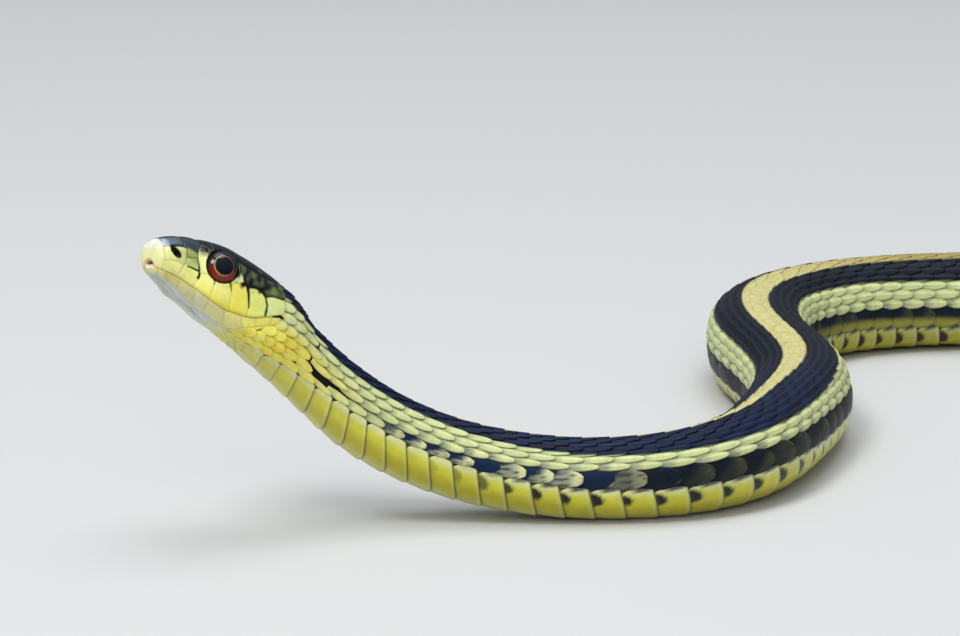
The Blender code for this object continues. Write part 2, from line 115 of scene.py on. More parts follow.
# Real lengths of one belly scute, which is also the length of one scale in each row
PITCHES = [
    (12, 1.3), (16, 1.35), (18, 1.55), (20, 2.1), (22, 2.6), (31, 2.55), (35, 2.7), (38, 3.05),
    (45, 3.2), (58, 3.4), (80, 3.6), (200, 3.7), (440, 3.7), (530, 3.3), (545, 2.6), (620, 2.1),
    (670, 1.6), (695, 1.2),
]
BELLY_EDGE = 105.0
# Edges of the rows of scales from the middle of the back to the belly scutes
ROW_EDGES = [7.3, 16.5, 25.7, 34.9, 44.1, 53.3, 62.5, 73.05, 83.6, 105.0]

SKIN_DEPTH = 0.22
HEAD_SKIN_DEPTH = 0.75
SCALES_START = 11.0
TAIL_START = VENT + 6
# How far a plate reaches forward under the one in front, as a share of the rows' pitch
SCALE_OVERLAP = 0.38
SCUTE_OVERLAP = 0.35
THROAT_OVERLAP = 0.3
ROOT_RISE = -0.16
PLATE_THICKNESS = 0.09
ROOT_OFF_FLOOR = 0.10
BAKE_PATCH = 0.003
SEED = 11


# ---------- the shape shared with the solids ----------

def table_column(table, column, distance):
    rows = np.array(table, float)
    x, y = rows[:, 0], rows[:, column]
    slope = np.gradient(y, x)
    flat = (np.diff(y, prepend=y[0]) * np.diff(y, append=y[-1])) <= 0
    slope[flat] = 0.0
    distance = np.clip(distance, x[0], x[-1])
    i = np.clip(np.searchsorted(x, distance) - 1, 0, len(x) - 2)
    gap = x[i + 1] - x[i]
    u = (distance - x[i]) / gap
    start, end = 2 * u**3 - 3 * u**2 + 1, 3 * u**2 - 2 * u**3
    leave, arrive = u**3 - 2 * u**2 + u, u**3 - u**2
    return start * y[i] + end * y[i + 1] + gap * (leave * slope[i] + arrive * slope[i + 1])


def smoothed(values):
    count = int(TURN_SMOOTHING / STEP) | 1
    weights = np.hanning(count + 2)[1:-1]
    weights /= weights.sum()
    pad = count // 2
    padded = np.concatenate([np.full(pad, values[0]), values, np.full(pad, values[-1])])
    return np.convolve(padded, weights, mode="valid")


def read_stations(stations, along):
    places, values = zip(*stations)
    return smoothed(np.interp(along, places, values))


class Spine:
    def __init__(self):
        along = np.arange(0.0, LENGTH + STEP / 2, STEP)
        turn = np.radians(read_stations(TURNS, along))
        slope = np.radians(read_stations(SLOPES, along))
        roll = np.radians(read_stations(ROLLS, along))
        level = np.stack([np.cos(turn), np.sin(turn), 0 * turn], -1)
        tangent = np.cos(slope)[:, None] * level - np.sin(slope)[:, None] * [0, 0, 1]
        moves = (tangent[1:] + tangent[:-1]) / 2 * STEP
        centre = np.concatenate([np.zeros((1, 3)), np.cumsum(moves, axis=0)])
        anchor = int(round(ANCHOR_DISTANCE / STEP))
        centre[:, :2] += np.array(ANCHOR_PLACE) - centre[anchor, :2]
        centre[:, 2] -= centre[-1, 2]
        flat_left = np.stack([np.sin(turn), -np.cos(turn), 0 * turn], -1)
        flat_up = np.cross(flat_left, tangent)
        self.along = along
        self.tangent = tangent
        self.left = np.cos(roll)[:, None] * flat_left + np.sin(roll)[:, None] * flat_up
        self.up = np.cos(roll)[:, None] * flat_up - np.sin(roll)[:, None] * flat_left
        self.centre = centre
        around = np.radians(np.arange(90, 271, 3))
        tested = along[::4]
        reach = section_reach(tested[:, None], around[None, :])
        heights = reach * (np.sin(around) * self.at(self.left, tested)[:, 2:]
                           + np.cos(around) * self.at(self.up, tested)[:, 2:])
        depth = np.interp(np.maximum(along, TOUCHDOWN), tested, -heights.min(axis=1))
        self.centre[:, 2] += depth - SINK

    def at(self, values, s):
        return np.stack([np.interp(s, self.along, values[:, k]) for k in range(3)], -1)


def section_sizes(s):
    wide, top, bottom, middle, square_top, square_bottom = (
        table_column(SECTIONS, column, s) for column in range(1, 7)
    )
    u = np.clip((SNOUT_LENGTH - s) / SNOUT_LENGTH, 0, 1)
    across = (1 - u**SNOUT_SQUARENESS_ACROSS) ** (1 / SNOUT_SQUARENESS_ACROSS)
    upright = (1 - u**SNOUT_SQUARENESS_UPRIGHT) ** (1 / SNOUT_SQUARENESS_UPRIGHT)
    return (wide * across, (top - middle) * upright, (middle - bottom) * upright,
            middle + (SNOUT_MIDDLE - middle) * u, square_top, square_bottom)


def section_reach(s, angle):
    wide, top, bottom, _, square_top, square_bottom = section_sizes(s)
    above = np.cos(angle) >= 0
    tall = np.where(above, top, bottom)
    n = np.where(above, square_top, square_bottom)
    across = np.abs(np.sin(angle) / np.maximum(wide, SMALLEST)) ** n
    upright = np.abs(np.cos(angle) / np.maximum(tall, SMALLEST)) ** n
    return (across + upright) ** (-1 / n)


def surface(s, angle, rise=0.0, floor=0.0):
    """Points of the surface at distances and angles in degrees, raised, and never under a floor."""
    s, angle, rise = np.broadcast_arrays(np.asarray(s, float), angle, rise)
    around = np.radians(angle)
    up = SPINE.at(SPINE.up, s)
    reach = np.maximum(section_reach(s, around) + rise, 0.02)[..., None]
    points = SPINE.at(SPINE.centre, s) + up * section_sizes(s)[3][..., None]
    points = points + reach * (np.sin(around)[..., None] * SPINE.at(SPINE.left, s)
                               + np.cos(around)[..., None] * up)
    points[..., 2] = np.maximum(points[..., 2], floor)
    return points


def girth(s):
    """Millimetres on the surface for one degree around it, about."""
    wide, top, bottom = section_sizes(s)[:3]
    return (2 * wide + top + bottom) / 4 * math.pi / 180


def mouth_angle(s):
    return np.interp(s, *zip(*MOUTH))


def head_angle(s, named):
    """True angle for a named angle, where 90 lies on the mouth."""
    side, mouth = np.abs(named), mouth_angle(s)
    true = np.where(side <= 90, side * mouth / 90, mouth + (side - 90) * (180 - mouth) / 90)
    return np.copysign(true, named)


def eye_frame(side):
    """An eye's centre and its axes: forward, up and outward."""
    left, up = SPINE.at(SPINE.left, EYE_DISTANCE), SPINE.at(SPINE.up, EYE_DISTANCE)
    forward = -SPINE.at(SPINE.tangent, EYE_DISTANCE)
    centre = SPINE.at(SPINE.centre, EYE_DISTANCE) + side * EYE_SIDE * left + EYE_HEIGHT * up
    tilt, turn = math.radians(EYE_TILT), math.radians(EYE_TURN)
    outward = side * math.cos(tilt) * left + math.sin(tilt) * up
    outward = math.cos(turn) * outward + math.sin(turn) * forward
    across = np.cross(up, outward)
    across /= np.linalg.norm(across)
    return centre, np.array([across, np.cross(outward, across), outward])


# ---------- helpers ----------

def colour(red, green, blue):
    """A screen colour of 0 to 255 as the linear numbers that shaders take."""
    c = np.array([red, green, blue]) / 255
    return np.where(c <= 0.04045, c / 12.92, ((c + 0.055) / 1.055) ** 2.4)


def step(x, start, end):
    t = np.clip((np.asarray(x, float) - start) / (end - start), 0, 1)
    return t * t * (3 - 2 * t)


def bump(x, middle, width):
    return np.exp(-(((np.asarray(x, float) - middle) / width) ** 2))


def mix(first, second, share):
    share = np.asarray(share, float)[..., None]
    return first * (1 - share) + second * share


def build_mesh(name, points, corners, sizes, colours, places=None, grain=None):
    """A mesh from arrays: points, the corners of all faces in one row, and each face's size."""
    starts = np.concatenate([[0], np.cumsum(sizes)[:-1]]).astype(np.int32)
    first, size = np.repeat(starts, sizes), np.repeat(sizes, sizes)
    place = np.arange(len(corners)) - first
    turn = np.nonzero((place >= 1) & (place <= size - 2))[0]
    a, b, c = points[corners[first[turn]]], points[corners[turn]], points[corners[turn + 1]]
    if np.einsum("ij,ij->", a, np.cross(b, c)) < 0:
        corners = corners[first + size - 1 - place]
    mesh = bpy.data.meshes.new(name)
    mesh.vertices.add(len(points))
    mesh.vertices.foreach_set("co", (points * MM).astype(np.float32).ravel())
    mesh.loops.add(len(corners))
    mesh.loops.foreach_set("vertex_index", corners.astype(np.int32))
    mesh.polygons.add(len(sizes))
    mesh.polygons.foreach_set("loop_start", starts)
    mesh.polygons.foreach_set("use_smooth", np.ones(len(sizes), bool))
    mesh.update(calc_edges=True)
    tint = mesh.color_attributes.new("tint", "FLOAT_COLOR", "POINT")
    tint.data.foreach_set("color", np.hstack([colours, np.ones((len(points), 1))])
                          .astype(np.float32).ravel())
    for title, map_places in (("OFBake", places), ("grain", grain)):
        if map_places is not None:
            layer = mesh.uv_layers.new(name=title)
            layer.data.foreach_set("uv", map_places[corners].astype(np.float32).ravel())
    mesh.validate()
    obj = bpy.data.objects.new(name, mesh)
    bpy.context.scene.collection.objects.link(obj)
    return obj


def grid_faces(rows, columns, closed):
    """Corners of a grid's quads, facing out for a body from head to tail, also all round it."""
    across = np.arange(columns if closed else columns - 1)
    i, j = np.meshgrid(np.arange(rows - 1), across, indexing="ij")
    here, there = i * columns, (i + 1) * columns
    k = (j + 1) % columns
    return np.stack([here + j, there + j, there + k, here + k], -1).reshape(-1, 4)


def closed_faces(rows, columns):
    """Corners and sizes of a closed body's faces: a grid all round, and a fan at each end."""
    quads = grid_faces(rows, columns, True)
    k = np.arange(columns)
    after = (k + 1) % columns
    last = (rows - 1) * columns
    end = rows * columns
    front = np.stack([k, after, np.full(columns, end)], -1)
    back = np.stack([last + after, last + k, np.full(columns, end + 1)], -1)
    corners = np.concatenate([quads.ravel(), front.ravel(), back.ravel()])
    return corners, np.concatenate([np.full(len(quads), 4), np.full(2 * columns, 3)])


def bake_place(s, angle):
    """Place on the unwrap of the skin's own shape."""
    return np.stack([0.02 + 0.96 * s / LENGTH, 0.5 + angle / 370], -1)


SPINE = Spine()
EYES = {side: eye_frame(side) for side in (1, -1)}


# ---------- markings, with painted sheen, highlights and shade ---

# Blue-black: the blue is a painted sheen of reflection over the black of the back
DARK_BLUE_SHEEN = colour(10, 26, 58)
DARK_REAR = colour(14, 19, 30)
DARK_SKIN = colour(8, 11, 16)
STRIPE = colour(200, 205, 146)
# Painted shade in the gaps between the side stripe's scales
STRIPE_GAP_SHADE = colour(122, 134, 78)
BACK_STRIPE = colour(194, 186, 124)
BACK_STRIPE_REAR = colour(156, 140, 82)
MOTTLED = colour(140, 144, 124)
NECK_YELLOW = colour(224, 216, 100)
BELLY_TOP = colour(204, 208, 150)
BELLY_YELLOW = colour(196, 192, 52)
BELLY_LOW = colour(172, 164, 34)
BELLY_UNDER = colour(194, 194, 118)
# Pale rear rim of the belly scutes: partly a translucent edge, partly painted highlight
BELLY_RIM_HIGHLIGHT = colour(206, 208, 176)
BLUE_BLACK = colour(12, 32, 60)
INK = colour(8, 11, 13)
NECK_DARK = 50.0
NAPE_DARK = 43.0
NAPE = 21.5


def twist(s):
    """Degrees by which the rows of scales lie turned round the body, as on the raised neck."""
    places = (22, 26, 30, 34, 38, 42, 48, 54, 60, 150, 168, 177, 184, 200, 240)
    return np.interp(s, places, (0, -2, -7, -12, -13.5, -13.5, -10, -4, 0, 0, 5, 10, 13, 13, 0))


def belly_edge(s):
    """Angle in the rows' own frame where the small scales end and the belly scutes begin."""
    places = (16, 20.5, 23, 25.5, 29, 56, 62, 70, 80, 88, 96, 110)
    edges = (119, 119, 115, 109, BELLY_EDGE, BELLY_EDGE, 109, 112, 111, 107.5, 108.5, BELLY_EDGE)
    return np.interp(s, places, edges)


def split_edges(s, split, rows_below):
    """Edges of six rows down to an angle, and of more rows from there to the belly scutes."""
    low = np.linspace(0, 1, rows_below + 1)[1:] * (belly_edge(s)[:, None] - split) + split
    high = split * (np.arange(6) + 0.5) / 5.5 + 0 * low[:, :1]
    return np.concatenate([high, low], 1)


def row_edges(s):
    """Angles of the rows' edges from the middle of the back to the belly, at each distance."""
    neck = split_edges(s, NECK_DARK, 4)
    body = np.array(ROW_EDGES) + 0 * neck[:, :1]
    body[:, -1] = belly_edge(s)
    return mix(neck, body, step(s, 42, 55))


def nape_edges(s):
    """The same just behind the head, where the rows of the side are narrower and more."""
    return split_edges(s, NAPE_DARK, 6)


def dark_edge(s):
    """Angle where the dark band of the back ends and the side stripe starts."""
    places = (14, 16, 18, 22, 25, 45, 48, 53, 58, 62, 70, 100, 108, 116)
    edges = (38, 40, 43, 47, NECK_DARK, NECK_DARK, 52, 54.5, 57, 60, 62.5, 62.5, 58, 53.3)
    return np.interp(s, places, edges)


def stripe_half(s):
    return np.interp(s, (18, 60, 100, 110, 145, 158, 560, 700), (4, 9, 11, 14, 16, 21, 21, 24))


def scale_colours(s, angle, row, u, v, chance):
    """Colours on dorsal scales, for the scale's place, its row and the place u, v on it."""
    side = np.abs(angle)
    first_draw, second_draw, third_draw, fourth_draw = (chance[..., k] for k in range(4))
    # The dark band is navy on the neck, its blue a painted sheen of reflection, and black behind;
    # the keel is painted lighter as a highlight
    navy_sheen = step(s, 125, 90)
    dark = mix(mix(DARK_REAR, DARK_BLUE_SHEEN, navy_sheen), colour(9, 14, 24), 0.8 * first_draw)
    keel = mix(colour(40, 46, 58), colour(34, 46, 72), navy_sheen)
    dark = mix(dark, keel, 0.6 * bump(v, 0, 0.16) * step(u, 0.2, 0.5))
    back = mix(BACK_STRIPE, BACK_STRIPE_REAR, step(s, 150, 185))
    # The side stripe's scales are darker and greener at their side edges, painted as shade in the
    # gaps between them, and grey at the root
    stripe = mix(STRIPE, STRIPE_GAP_SHADE, 0.8 * step(np.abs(v), 0.62, 1.0) + 0.15 * second_draw)
    stripe = mix(stripe, colour(150, 156, 124), 0.75 * step(u, 0.48, 0.25) * step(s, 20, 34))
    stripe = mix(stripe, colour(186, 196, 152), step(s, 230, 320) * 0.6)
    result = mix(dark, back, step(stripe_half(s) - side, -1.0, 1.0))
    low = step(side - dark_edge(s), -1.2, 1.2)
    result = mix(result, stripe, low)
    yellow = mix(NECK_YELLOW, colour(222, 204, 76), third_draw)
    result = mix(result, yellow, step(s, 36, 20) * low * step(side, 66, 84))
    # The lowest row: mottled grey scales among blue-black ones, and olive ones in the rear
    speck = np.sin(37 * u + 40 * fourth_draw) * np.sin(9 * v + 6 * u + 30 * first_draw)
    grey = mix(MOTTLED, colour(204, 202, 150), step(u, 0.55, 0.9))
    grey = mix(grey, INK, 0.85 * step(speck, 0.25, 0.6))
    cover = 0.50 + 0.6 * step(second_draw, 0.72, 0.8) - 0.3 * step(second_draw, 0.25, 0.1)
    lowest = mix(grey, BLUE_BLACK, step(u + 0.25 * v, cover + 0.1, cover - 0.06))
    black = step(s, 60, 74) * (0.95 - 0.6 * step(speck, 0.4, 0.8))
    lowest = mix(lowest, colour(14, 20, 24), black)
    olive = step(s, 140, 170) * step(side, 92, 100) * 0.8
    lowest = mix(lowest, colour(150, 146, 60), olive)
    result = mix(result, lowest, (row == 1) * step(s, 33, 40))
    second = 0.8 * (row == 2) * step(s, 30, 44) * step(u, 0.62, 0.36)
    result = mix(result, colour(132, 138, 116), second)
    return mix(result, INK, second * step(speck, 0.45, 0.8))


def side_angle(angle):
    """Angle from the middle of the back, alike on both sides."""
    return np.abs(np.where(angle > 180, 360 - angle, angle))


def belly_colours(s, angle, u, chance):
    """Colours on the belly scutes, for the distance, the angle and the place u along the scute."""
    side = side_angle(angle) - belly_edge(s) + BELLY_EDGE
    result = mix(BELLY_TOP, BELLY_YELLOW, step(side, 105, 121))
    result = mix(result, BELLY_LOW, step(side, 121, 140))
    result = mix(result, BELLY_UNDER, step(side, 150, 170))
    result = mix(result, colour(208, 198, 84), 0.6 * step(s, 40, 24) * step(side, 112, 124))
    # The rear belly's upper part is a darker olive, partly its own olive and partly painted shade
    result = mix(result, colour(150, 146, 52), 0.7 * step(s, 130, 170) * step(side, 140, 118))
    result = result * (0.95 + 0.1 * chance[..., :1])
    # A black spot at each end of a scute's front edge, behind the small scales
    grow = 0.8 + 0.4 * chance[..., 1]
    off = ((u - 0.27) / (0.24 * grow)) ** 2 + ((side - 121.5) / (9.5 * grow)) ** 2
    result = mix(result, INK, step(off, 1.4, 0.7) * (step(s, 38, 58) * step(s, 520, 470)))
    corner = step(side + 10 * (u - 0.8), 109.5, 106.5) * step(u, 0.5, 0.62) * step(s, 44, 58)
    result = mix(result, BLUE_BLACK, 0.9 * corner)
    # Each scute's rear edge has a pale rim, partly a translucent edge and partly painted highlight,
    # and then a thin dark line of painted shadow at the very edge
    result = mix(result, BELLY_RIM_HIGHLIGHT, 0.22 * step(u, 0.88, 0.95))
    result = mix(result, colour(108, 106, 50), 0.75 * step(u, 0.955, 0.995))
    # The front is darkened by painted shadow where it comes out from under the scute in front
    return mix(result, colour(90, 88, 40), 0.7 * step(u, 0.33, 0.27) * step(s, 20, 30))


def belly_sweep(s, angle):
    """How far in mm the belly scutes' middles lie behind their ends at the side."""
    low = np.clip((side_angle(angle) - belly_edge(s)) / 60, 0, 1)
    places = (17, 25, 30, 35.5, 40, 45, 52, 60, 90)
    amount = np.interp(s, places, (1.8, 2.0, 2.4, 2.8, 2.5, 2.1, 1.5, 1.2, 1.1))
    return amount * girth(s) / girth(np.minimum(s, 90)) * (1 - (1 - low) ** 1.2)


def skin_colours(s, angle):
    side = side_angle(angle)
    under = mix(DARK_SKIN, colour(120, 112, 40), step(side - belly_edge(s), 1, 7))
    return mix(under, colour(160, 148, 50), step(side, 70, 84) * step(s, 22, 19))


# ---------- scales ----------

def scale_template(u_values, v_values, width_at):
    """Places u, v on a plate's top, then on its underside's rim, and a closed plate's faces."""
    nu, nv = len(u_values), len(v_values)
    u, v = np.meshgrid(u_values, v_values, indexing="ij")
    top = np.arange(nu * nv).reshape(nu, nv)
    rim = list(top[0]) + list(top[1:, -1]) + list(top[-1, -2::-1]) + list(top[-2:0:-1, 0])
    low = {point: nu * nv + k for k, point in enumerate(rim)}
    faces = [list(face) for face in grid_faces(nu, nv, False)]
    for k, point in enumerate(rim):
        nxt = rim[(k + 1) % len(rim)]
        faces.append([point, nxt, low[nxt], low[point]])
    for i in range(nu - 1):
        near, far = [top[i, 0], top[i, -1]], [top[i + 1, -1], top[i + 1, 0]]
        if i == 0:
            near = list(top[0])
        if i == nu - 2:
            far = list(top[-1, ::-1])
        faces.append([low[point] for point in near + far])
    u_all = np.concatenate([u.ravel(), u.ravel()[rim]])
    v_all = np.concatenate([v.ravel(), v.ravel()[rim]])
    below = np.concatenate([np.zeros(nu * nv), np.ones(len(rim))])
    return u_all, v_all, below, width_at(u_all), faces


def scale_width(u):
    front = 0.70 + 0.30 * step(u, 0.0, 0.42)
    rear = (1 - np.clip((u - 0.48) / 0.54, 0, 1) ** 2.3) ** 0.58
    return front * rear


def plates(name, template, s_root, s_tip, middle, half, lift, make_colours, chances,
           dome=0.1, keel=0.0, root_rise=ROOT_RISE, sweep=None):
    """One object holding a closed plate for each entry of the arrays."""
    u, v, below, width, faces = template
    count = len(s_root)
    s = s_root[:, None] + (s_tip - s_root)[:, None] * u
    angle = middle[:, None] + half[:, None] * width * v
    if sweep is not None:
        s = s + sweep(s, angle)
    rise = root_rise + (lift[:, None] - root_rise) * (u**1.1) + dome * (1 - v**2) * (1 - 0.4 * u)
    ridge = np.clip(1 - np.abs(v) / 0.2, 0, 1) * step(u, 0.05, 0.4) * (1 - u**5)
    rise = rise + (keel + 0 * lift)[:, None] * ridge - PLATE_THICKNESS * below
    least = ROOT_OFF_FLOOR * (1 - u)[None, :] + 0 * s
    points = surface(s, angle + twist(s), rise, least)
    random = np.repeat(chances[:, None, :], len(u), axis=1)
    tints = make_colours(s, angle, u[None, :] + 0 * s, v[None, :] + 0 * s, random)
    corners = np.concatenate([np.array(face) for face in faces])
    sizes = np.array([len(face) for face in faces])
    all_corners = (corners[None, :] + (np.arange(count) * len(u))[:, None]).ravel()
    local = np.stack([(u - 0.5) * BAKE_PATCH, 0.5 * v * width * BAKE_PATCH], -1)
    bake = bake_place(s_root, middle)[:, None, :] + local[None, :, :]
    across = half[:, None] * width * v * girth(s)
    grain = np.stack([s, across + 40 * chances[:, :1]], -1)
    return build_mesh(name, points.reshape(-1, 3), all_corners, np.tile(sizes, count),
                      np.clip(tints, 0, 1).reshape(-1, 3), bake.reshape(-1, 2),
                      grain.reshape(-1, 2))


COUNT_STEP = 0.25


def pitch_scale():
    """Running count of scales from the head to the tail's tip, at each distance."""
    s = np.arange(10.0, LENGTH, COUNT_STEP)
    pitch = np.interp(s, *zip(*PITCHES))
    return s, np.concatenate([[0], np.cumsum(COUNT_STEP / pitch)[:-1]])


COUNT_AT, COUNTS = pitch_scale()


def place_of(count):
    return np.interp(count, COUNTS, COUNT_AT)


def count_of(s):
    return np.interp(s, COUNT_AT, COUNTS)


# Where the head's shields end and the small scales begin: angle and distance
SHIELDS_END = [
    (0, 15.7), (12, 15.7), (30, 15.0), (50, 15.6), (62, 16.1), (67, 16.3), (76, 16.0), (83, 15.5),
    (90, 14.2), (100, 12.9), (108, 12.3), (115, 12.0), (123, 12.5), (130, 12.9), (180, 12.7),
]
# A fold of dark skin opens between the two lowest rows: width in degrees, place and length
FOLD_WIDTH = 6.0
FOLD_PLACE = (26.2, 2.4)
FIRST_SCUTES = (17.64, 20.22)
THIRD_SCUTE = 22.87
# Lengths of the tail with the rows on each side of the middle one
TAIL_ROWS = [(TAIL_START, 562, 7), (562, 590, 6), (590, 622, 5), (622, 655, 4), (655, 690, 3)]


def front_limit(side):
    """Distance where the head's shields end and the small scales begin, at an angle."""
    return np.interp(side, *zip(*SHIELDS_END))


def body_rows(found):
    """Adds the scales of the nape and the body to the list."""
    first, end_count = math.ceil(count_of(SCALES_START)), count_of(TAIL_START)
    phase = (count_of(THIRD_SCUTE) - 0.65) % 1.0
    stretches = ((SCALES_START, NAPE, 11, nape_edges), (NAPE, TAIL_START, 9, row_edges))
    for start, end, last, edges_at in stretches:
        for index in range(last + 1):
            count = np.arange(first, end_count) + 0.5 * (index % 2) + phase
            count = count[(place_of(count) >= start) & (place_of(count) < end)]
            centre = place_of(count + 0.5)
            edges = edges_at(centre)
            outer, inner = edges[:, index], (edges[:, index - 1] if index else -edges[:, 0])
            gap = FOLD_WIDTH * bump(centre, *FOLD_PLACE)
            inner = inner + gap * (index == last)
            outer = outer - gap * (index == last - 1)
            row = max(1.0, min(10.0, last + 1.0 - index)) if index else 10.0
            for side in ((1, -1) if index else (1,)):
                middle = side * (inner + outer) / 2 if index else 0 * count
                half = (outer - inner) / 2 if index else outer
                found.append(np.stack([row + 0 * count, count, middle, half], -1))


def tail_rows(found):
    """Adds the scales of the tail, in fewer rows towards its tip."""
    for start, end, per_side in TAIL_ROWS:
        edges = np.linspace(0, BELLY_EDGE, 2 * per_side + 2)[1::2]
        rows = [(10, 0.0, edges[0])]
        for k in range(per_side):
            named = 1 + int(round((per_side - 1 - k) * 8 / max(per_side - 1, 1)))
            rows.append((named, (edges[k] + edges[k + 1]) / 2, (edges[k + 1] - edges[k]) / 2))
        for index, (row, middle, half) in enumerate(rows):
            counts = np.arange(math.ceil(count_of(start)), count_of(end)) + 0.5 * (index % 2)
            for side in ((1, -1) if row < 10 else (1,)):
                found.append(np.array([(row, count, side * middle, half) for count in counts]))


def make_dorsal_scales():
    found = []
    body_rows(found)
    tail_rows(found)
    rng = np.random.default_rng(SEED)
    row, count, middle, half = np.concatenate(found).T
    tip = place_of(count + 1.0)
    root = place_of(count - SCALE_OVERLAP)
    share = 0.2 + 0.24 * step(np.abs(middle), 68, 88)
    keep = (root + share * (tip - root) > front_limit(np.abs(middle))) & (tip < LENGTH - 1.5)
    chances = rng.random((len(row), 4))[keep]
    row, middle, half, tip, root = (a[keep] for a in (row, middle, half, tip, root))
    size = girth(tip)
    spread = np.interp(tip, (16, 20, 32, 60, 100), (1.14, 1.08, 1.02, 1.12, 1.22))
    spread = np.where(row == 1, spread * 0.98, spread)
    small = np.clip(size / girth(200), 0.25, 1.0)
    keel = np.where(row == 1, 0.0, 0.10) * small * step(tip, 18, 40)
    lift = (0.13 + 0.05 * chances[:, 3]) * small
    u_values = np.array([0, 0.14, 0.3, 0.46, 0.6, 0.73, 0.84, 0.93, 0.985])
    v_values = np.array([-1, -0.78, -0.45, -0.16, 0, 0.16, 0.45, 0.78, 1])
    template = scale_template(u_values, v_values, scale_width)
    order = np.argsort(root)
    pieces = []
    for k, part in enumerate(np.array_split(order, 5)):
        def colours(s, angle, u, v, chance, part=part):
            return scale_colours(tip[part][:, None] + 0 * s, angle, row[part][:, None] + 0 * s, u,
                                 v * np.sign(middle[part] + 0.1)[:, None], chance)
        pieces.append(plates(f"dorsal_scales_{k + 1}", template, root[part], tip[part],
                             middle[part], half[part] * spread[part], lift[part], colours,
                             chances[part], keel=keel[part]))
    return pieces


def make_throat_scales():
    """Flat small scales between the jaw, the chin's shields and the first belly scute."""
    rng = np.random.default_rng(SEED + 1)
    entries = []
    for index, middle in enumerate((127.7, 145.1, 162.6, 180.0)):
        for side in ((1, -1) if middle < 180 else (1,)):
            counts = np.arange(0, 6.4) + 0.5 * (index % 2)
            entries += [(side * middle, count) for count in counts]
    middle, count = np.array(entries).T
    tip, root = place_of(count + 1.0), place_of(count - THROAT_OVERLAP)
    keep = (root + 0.6 * (tip - root) > front_limit(np.abs(middle))) & (tip < 16.9)
    middle, tip, root = middle[keep], tip[keep], root[keep]
    chances = rng.random((len(tip), 4))
    u_values = np.array([0, 0.2, 0.4, 0.6, 0.8, 0.93, 0.985])
    v_values = np.array([-1, -0.75, -0.4, 0, 0.4, 0.75, 1])

    def colours(s, angle, u, v, chance):
        return mix(colour(212, 202, 84), colour(186, 184, 96), chance[..., 0] * 0.7 + 0 * s)
    template = scale_template(u_values, v_values, scale_width)
    return plates("throat_scales", template, root, tip, middle, np.full(len(tip), 9.8),
                  np.full(len(tip), 0.03), colours, chances, dome=0.05, root_rise=-0.1)


def scute_width(u):
    return 1 - np.where(u < 0.64, 0.11, 0.025) * ((u - 0.64) / 0.36) ** 2


def make_belly_scutes():
    rng = np.random.default_rng(SEED + 2)
    counts = np.arange(count_of(THIRD_SCUTE), count_of(VENT) + 1)
    tip = np.concatenate([FIRST_SCUTES, place_of(counts)])
    before = np.concatenate([[2 * tip[0] - tip[1]], tip[:-1]])
    root = before - SCUTE_OVERLAP * (tip - before)
    chances = rng.random((len(tip), 4))
    u_values = np.array([0, 0.15, 0.26, 0.32, 0.37, 0.42, 0.48, 0.56, 0.66, 0.76, 0.86, 0.93,
                         0.97, 1.0])
    half_v = np.array([0.06, 0.16, 0.28, 0.4, 0.52, 0.62, 0.69, 0.75, 0.79, 0.83, 0.865, 0.9,
                       0.93, 0.96, 0.985, 1.0])
    v_values = np.concatenate([-half_v[::-1], [0], half_v])
    template = scale_template(u_values, v_values, scute_width)
    wide = 181.5 - belly_edge(tip)

    def colours(s, angle, u, v, chance):
        return belly_colours(tip[:, None] + 0 * s, angle, u, chance)
    lift = 0.09 * np.clip(girth(tip) / girth(200), 0.3, 1)
    return plates("belly_scutes", template, root, tip, np.full(len(tip), 180.0), wide, lift,
                  colours, chances, dome=0.02, sweep=belly_sweep)


def make_tail_scutes():
    """Two rows of scutes side by side under the tail."""
    rng = np.random.default_rng(SEED + 3)
    first, last = math.ceil(count_of(VENT)), count_of(LENGTH - 3.0)
    side = np.tile([1.0, -1.0], len(np.arange(first, last)))
    count = np.repeat(np.arange(first, last), 2) + 0.5 * (side < 0)
    tip, root = place_of(count + 1.0), place_of(count - SCUTE_OVERLAP)
    chances = rng.random((len(tip), 4))
    u_values = np.array([0, 0.15, 0.3, 0.45, 0.6, 0.75, 0.88, 0.96])
    v_values = np.array([-1, -0.85, -0.6, -0.3, 0, 0.3, 0.6, 0.85, 1])

    def width(u):
        return (0.9 + 0.1 * step(u, 0, 0.4)) * (1 - np.clip((u - 0.6) / 0.45, 0, 1) ** 2.5) ** 0.5

    def colours(s, angle, u, v, chance):
        return belly_colours(tip[:, None] + 0 * s, angle, u, chance)
    middle = side * (BELLY_EDGE + (180 - BELLY_EDGE) / 2)
    lift = 0.13 * np.clip(girth(tip) / girth(200), 0.25, 1)
    template = scale_template(u_values, v_values, width)
    return plates("tail_scutes", template, root, tip, middle, np.full(len(tip), 40.5), lift,
                  colours, chances, dome=0.02)


# ---------- skin ----------

EYE_OPENING = 1.92
EYE_RIM = 0.10


def eye_hollow(points, depth):
    """Moves points that lie over an eyeball to under its surface, and raises a rim round it."""
    for centre, axes in EYES.values():
        local = (points - centre) @ axes.T
        off = np.hypot(local[..., 0], local[..., 1])
        ball = EYE_HALF_DEPTH * np.sqrt(np.clip(1 - (off / EYE_RADIUS) ** 2, 0, 1))
        target = ball - depth
        near = step(off, EYE_OPENING + 0.16, EYE_OPENING) * (local[..., 2] > -1.5)
        rim = EYE_RIM * bump(off, EYE_OPENING + 0.24, 0.14) * (local[..., 2] > -1.0) * (depth < 1)
        lift = np.where(near > 0, np.minimum(target - local[..., 2], 0) * near, 0) + rim
        points = points + lift[..., None] * axes[2]
    return points


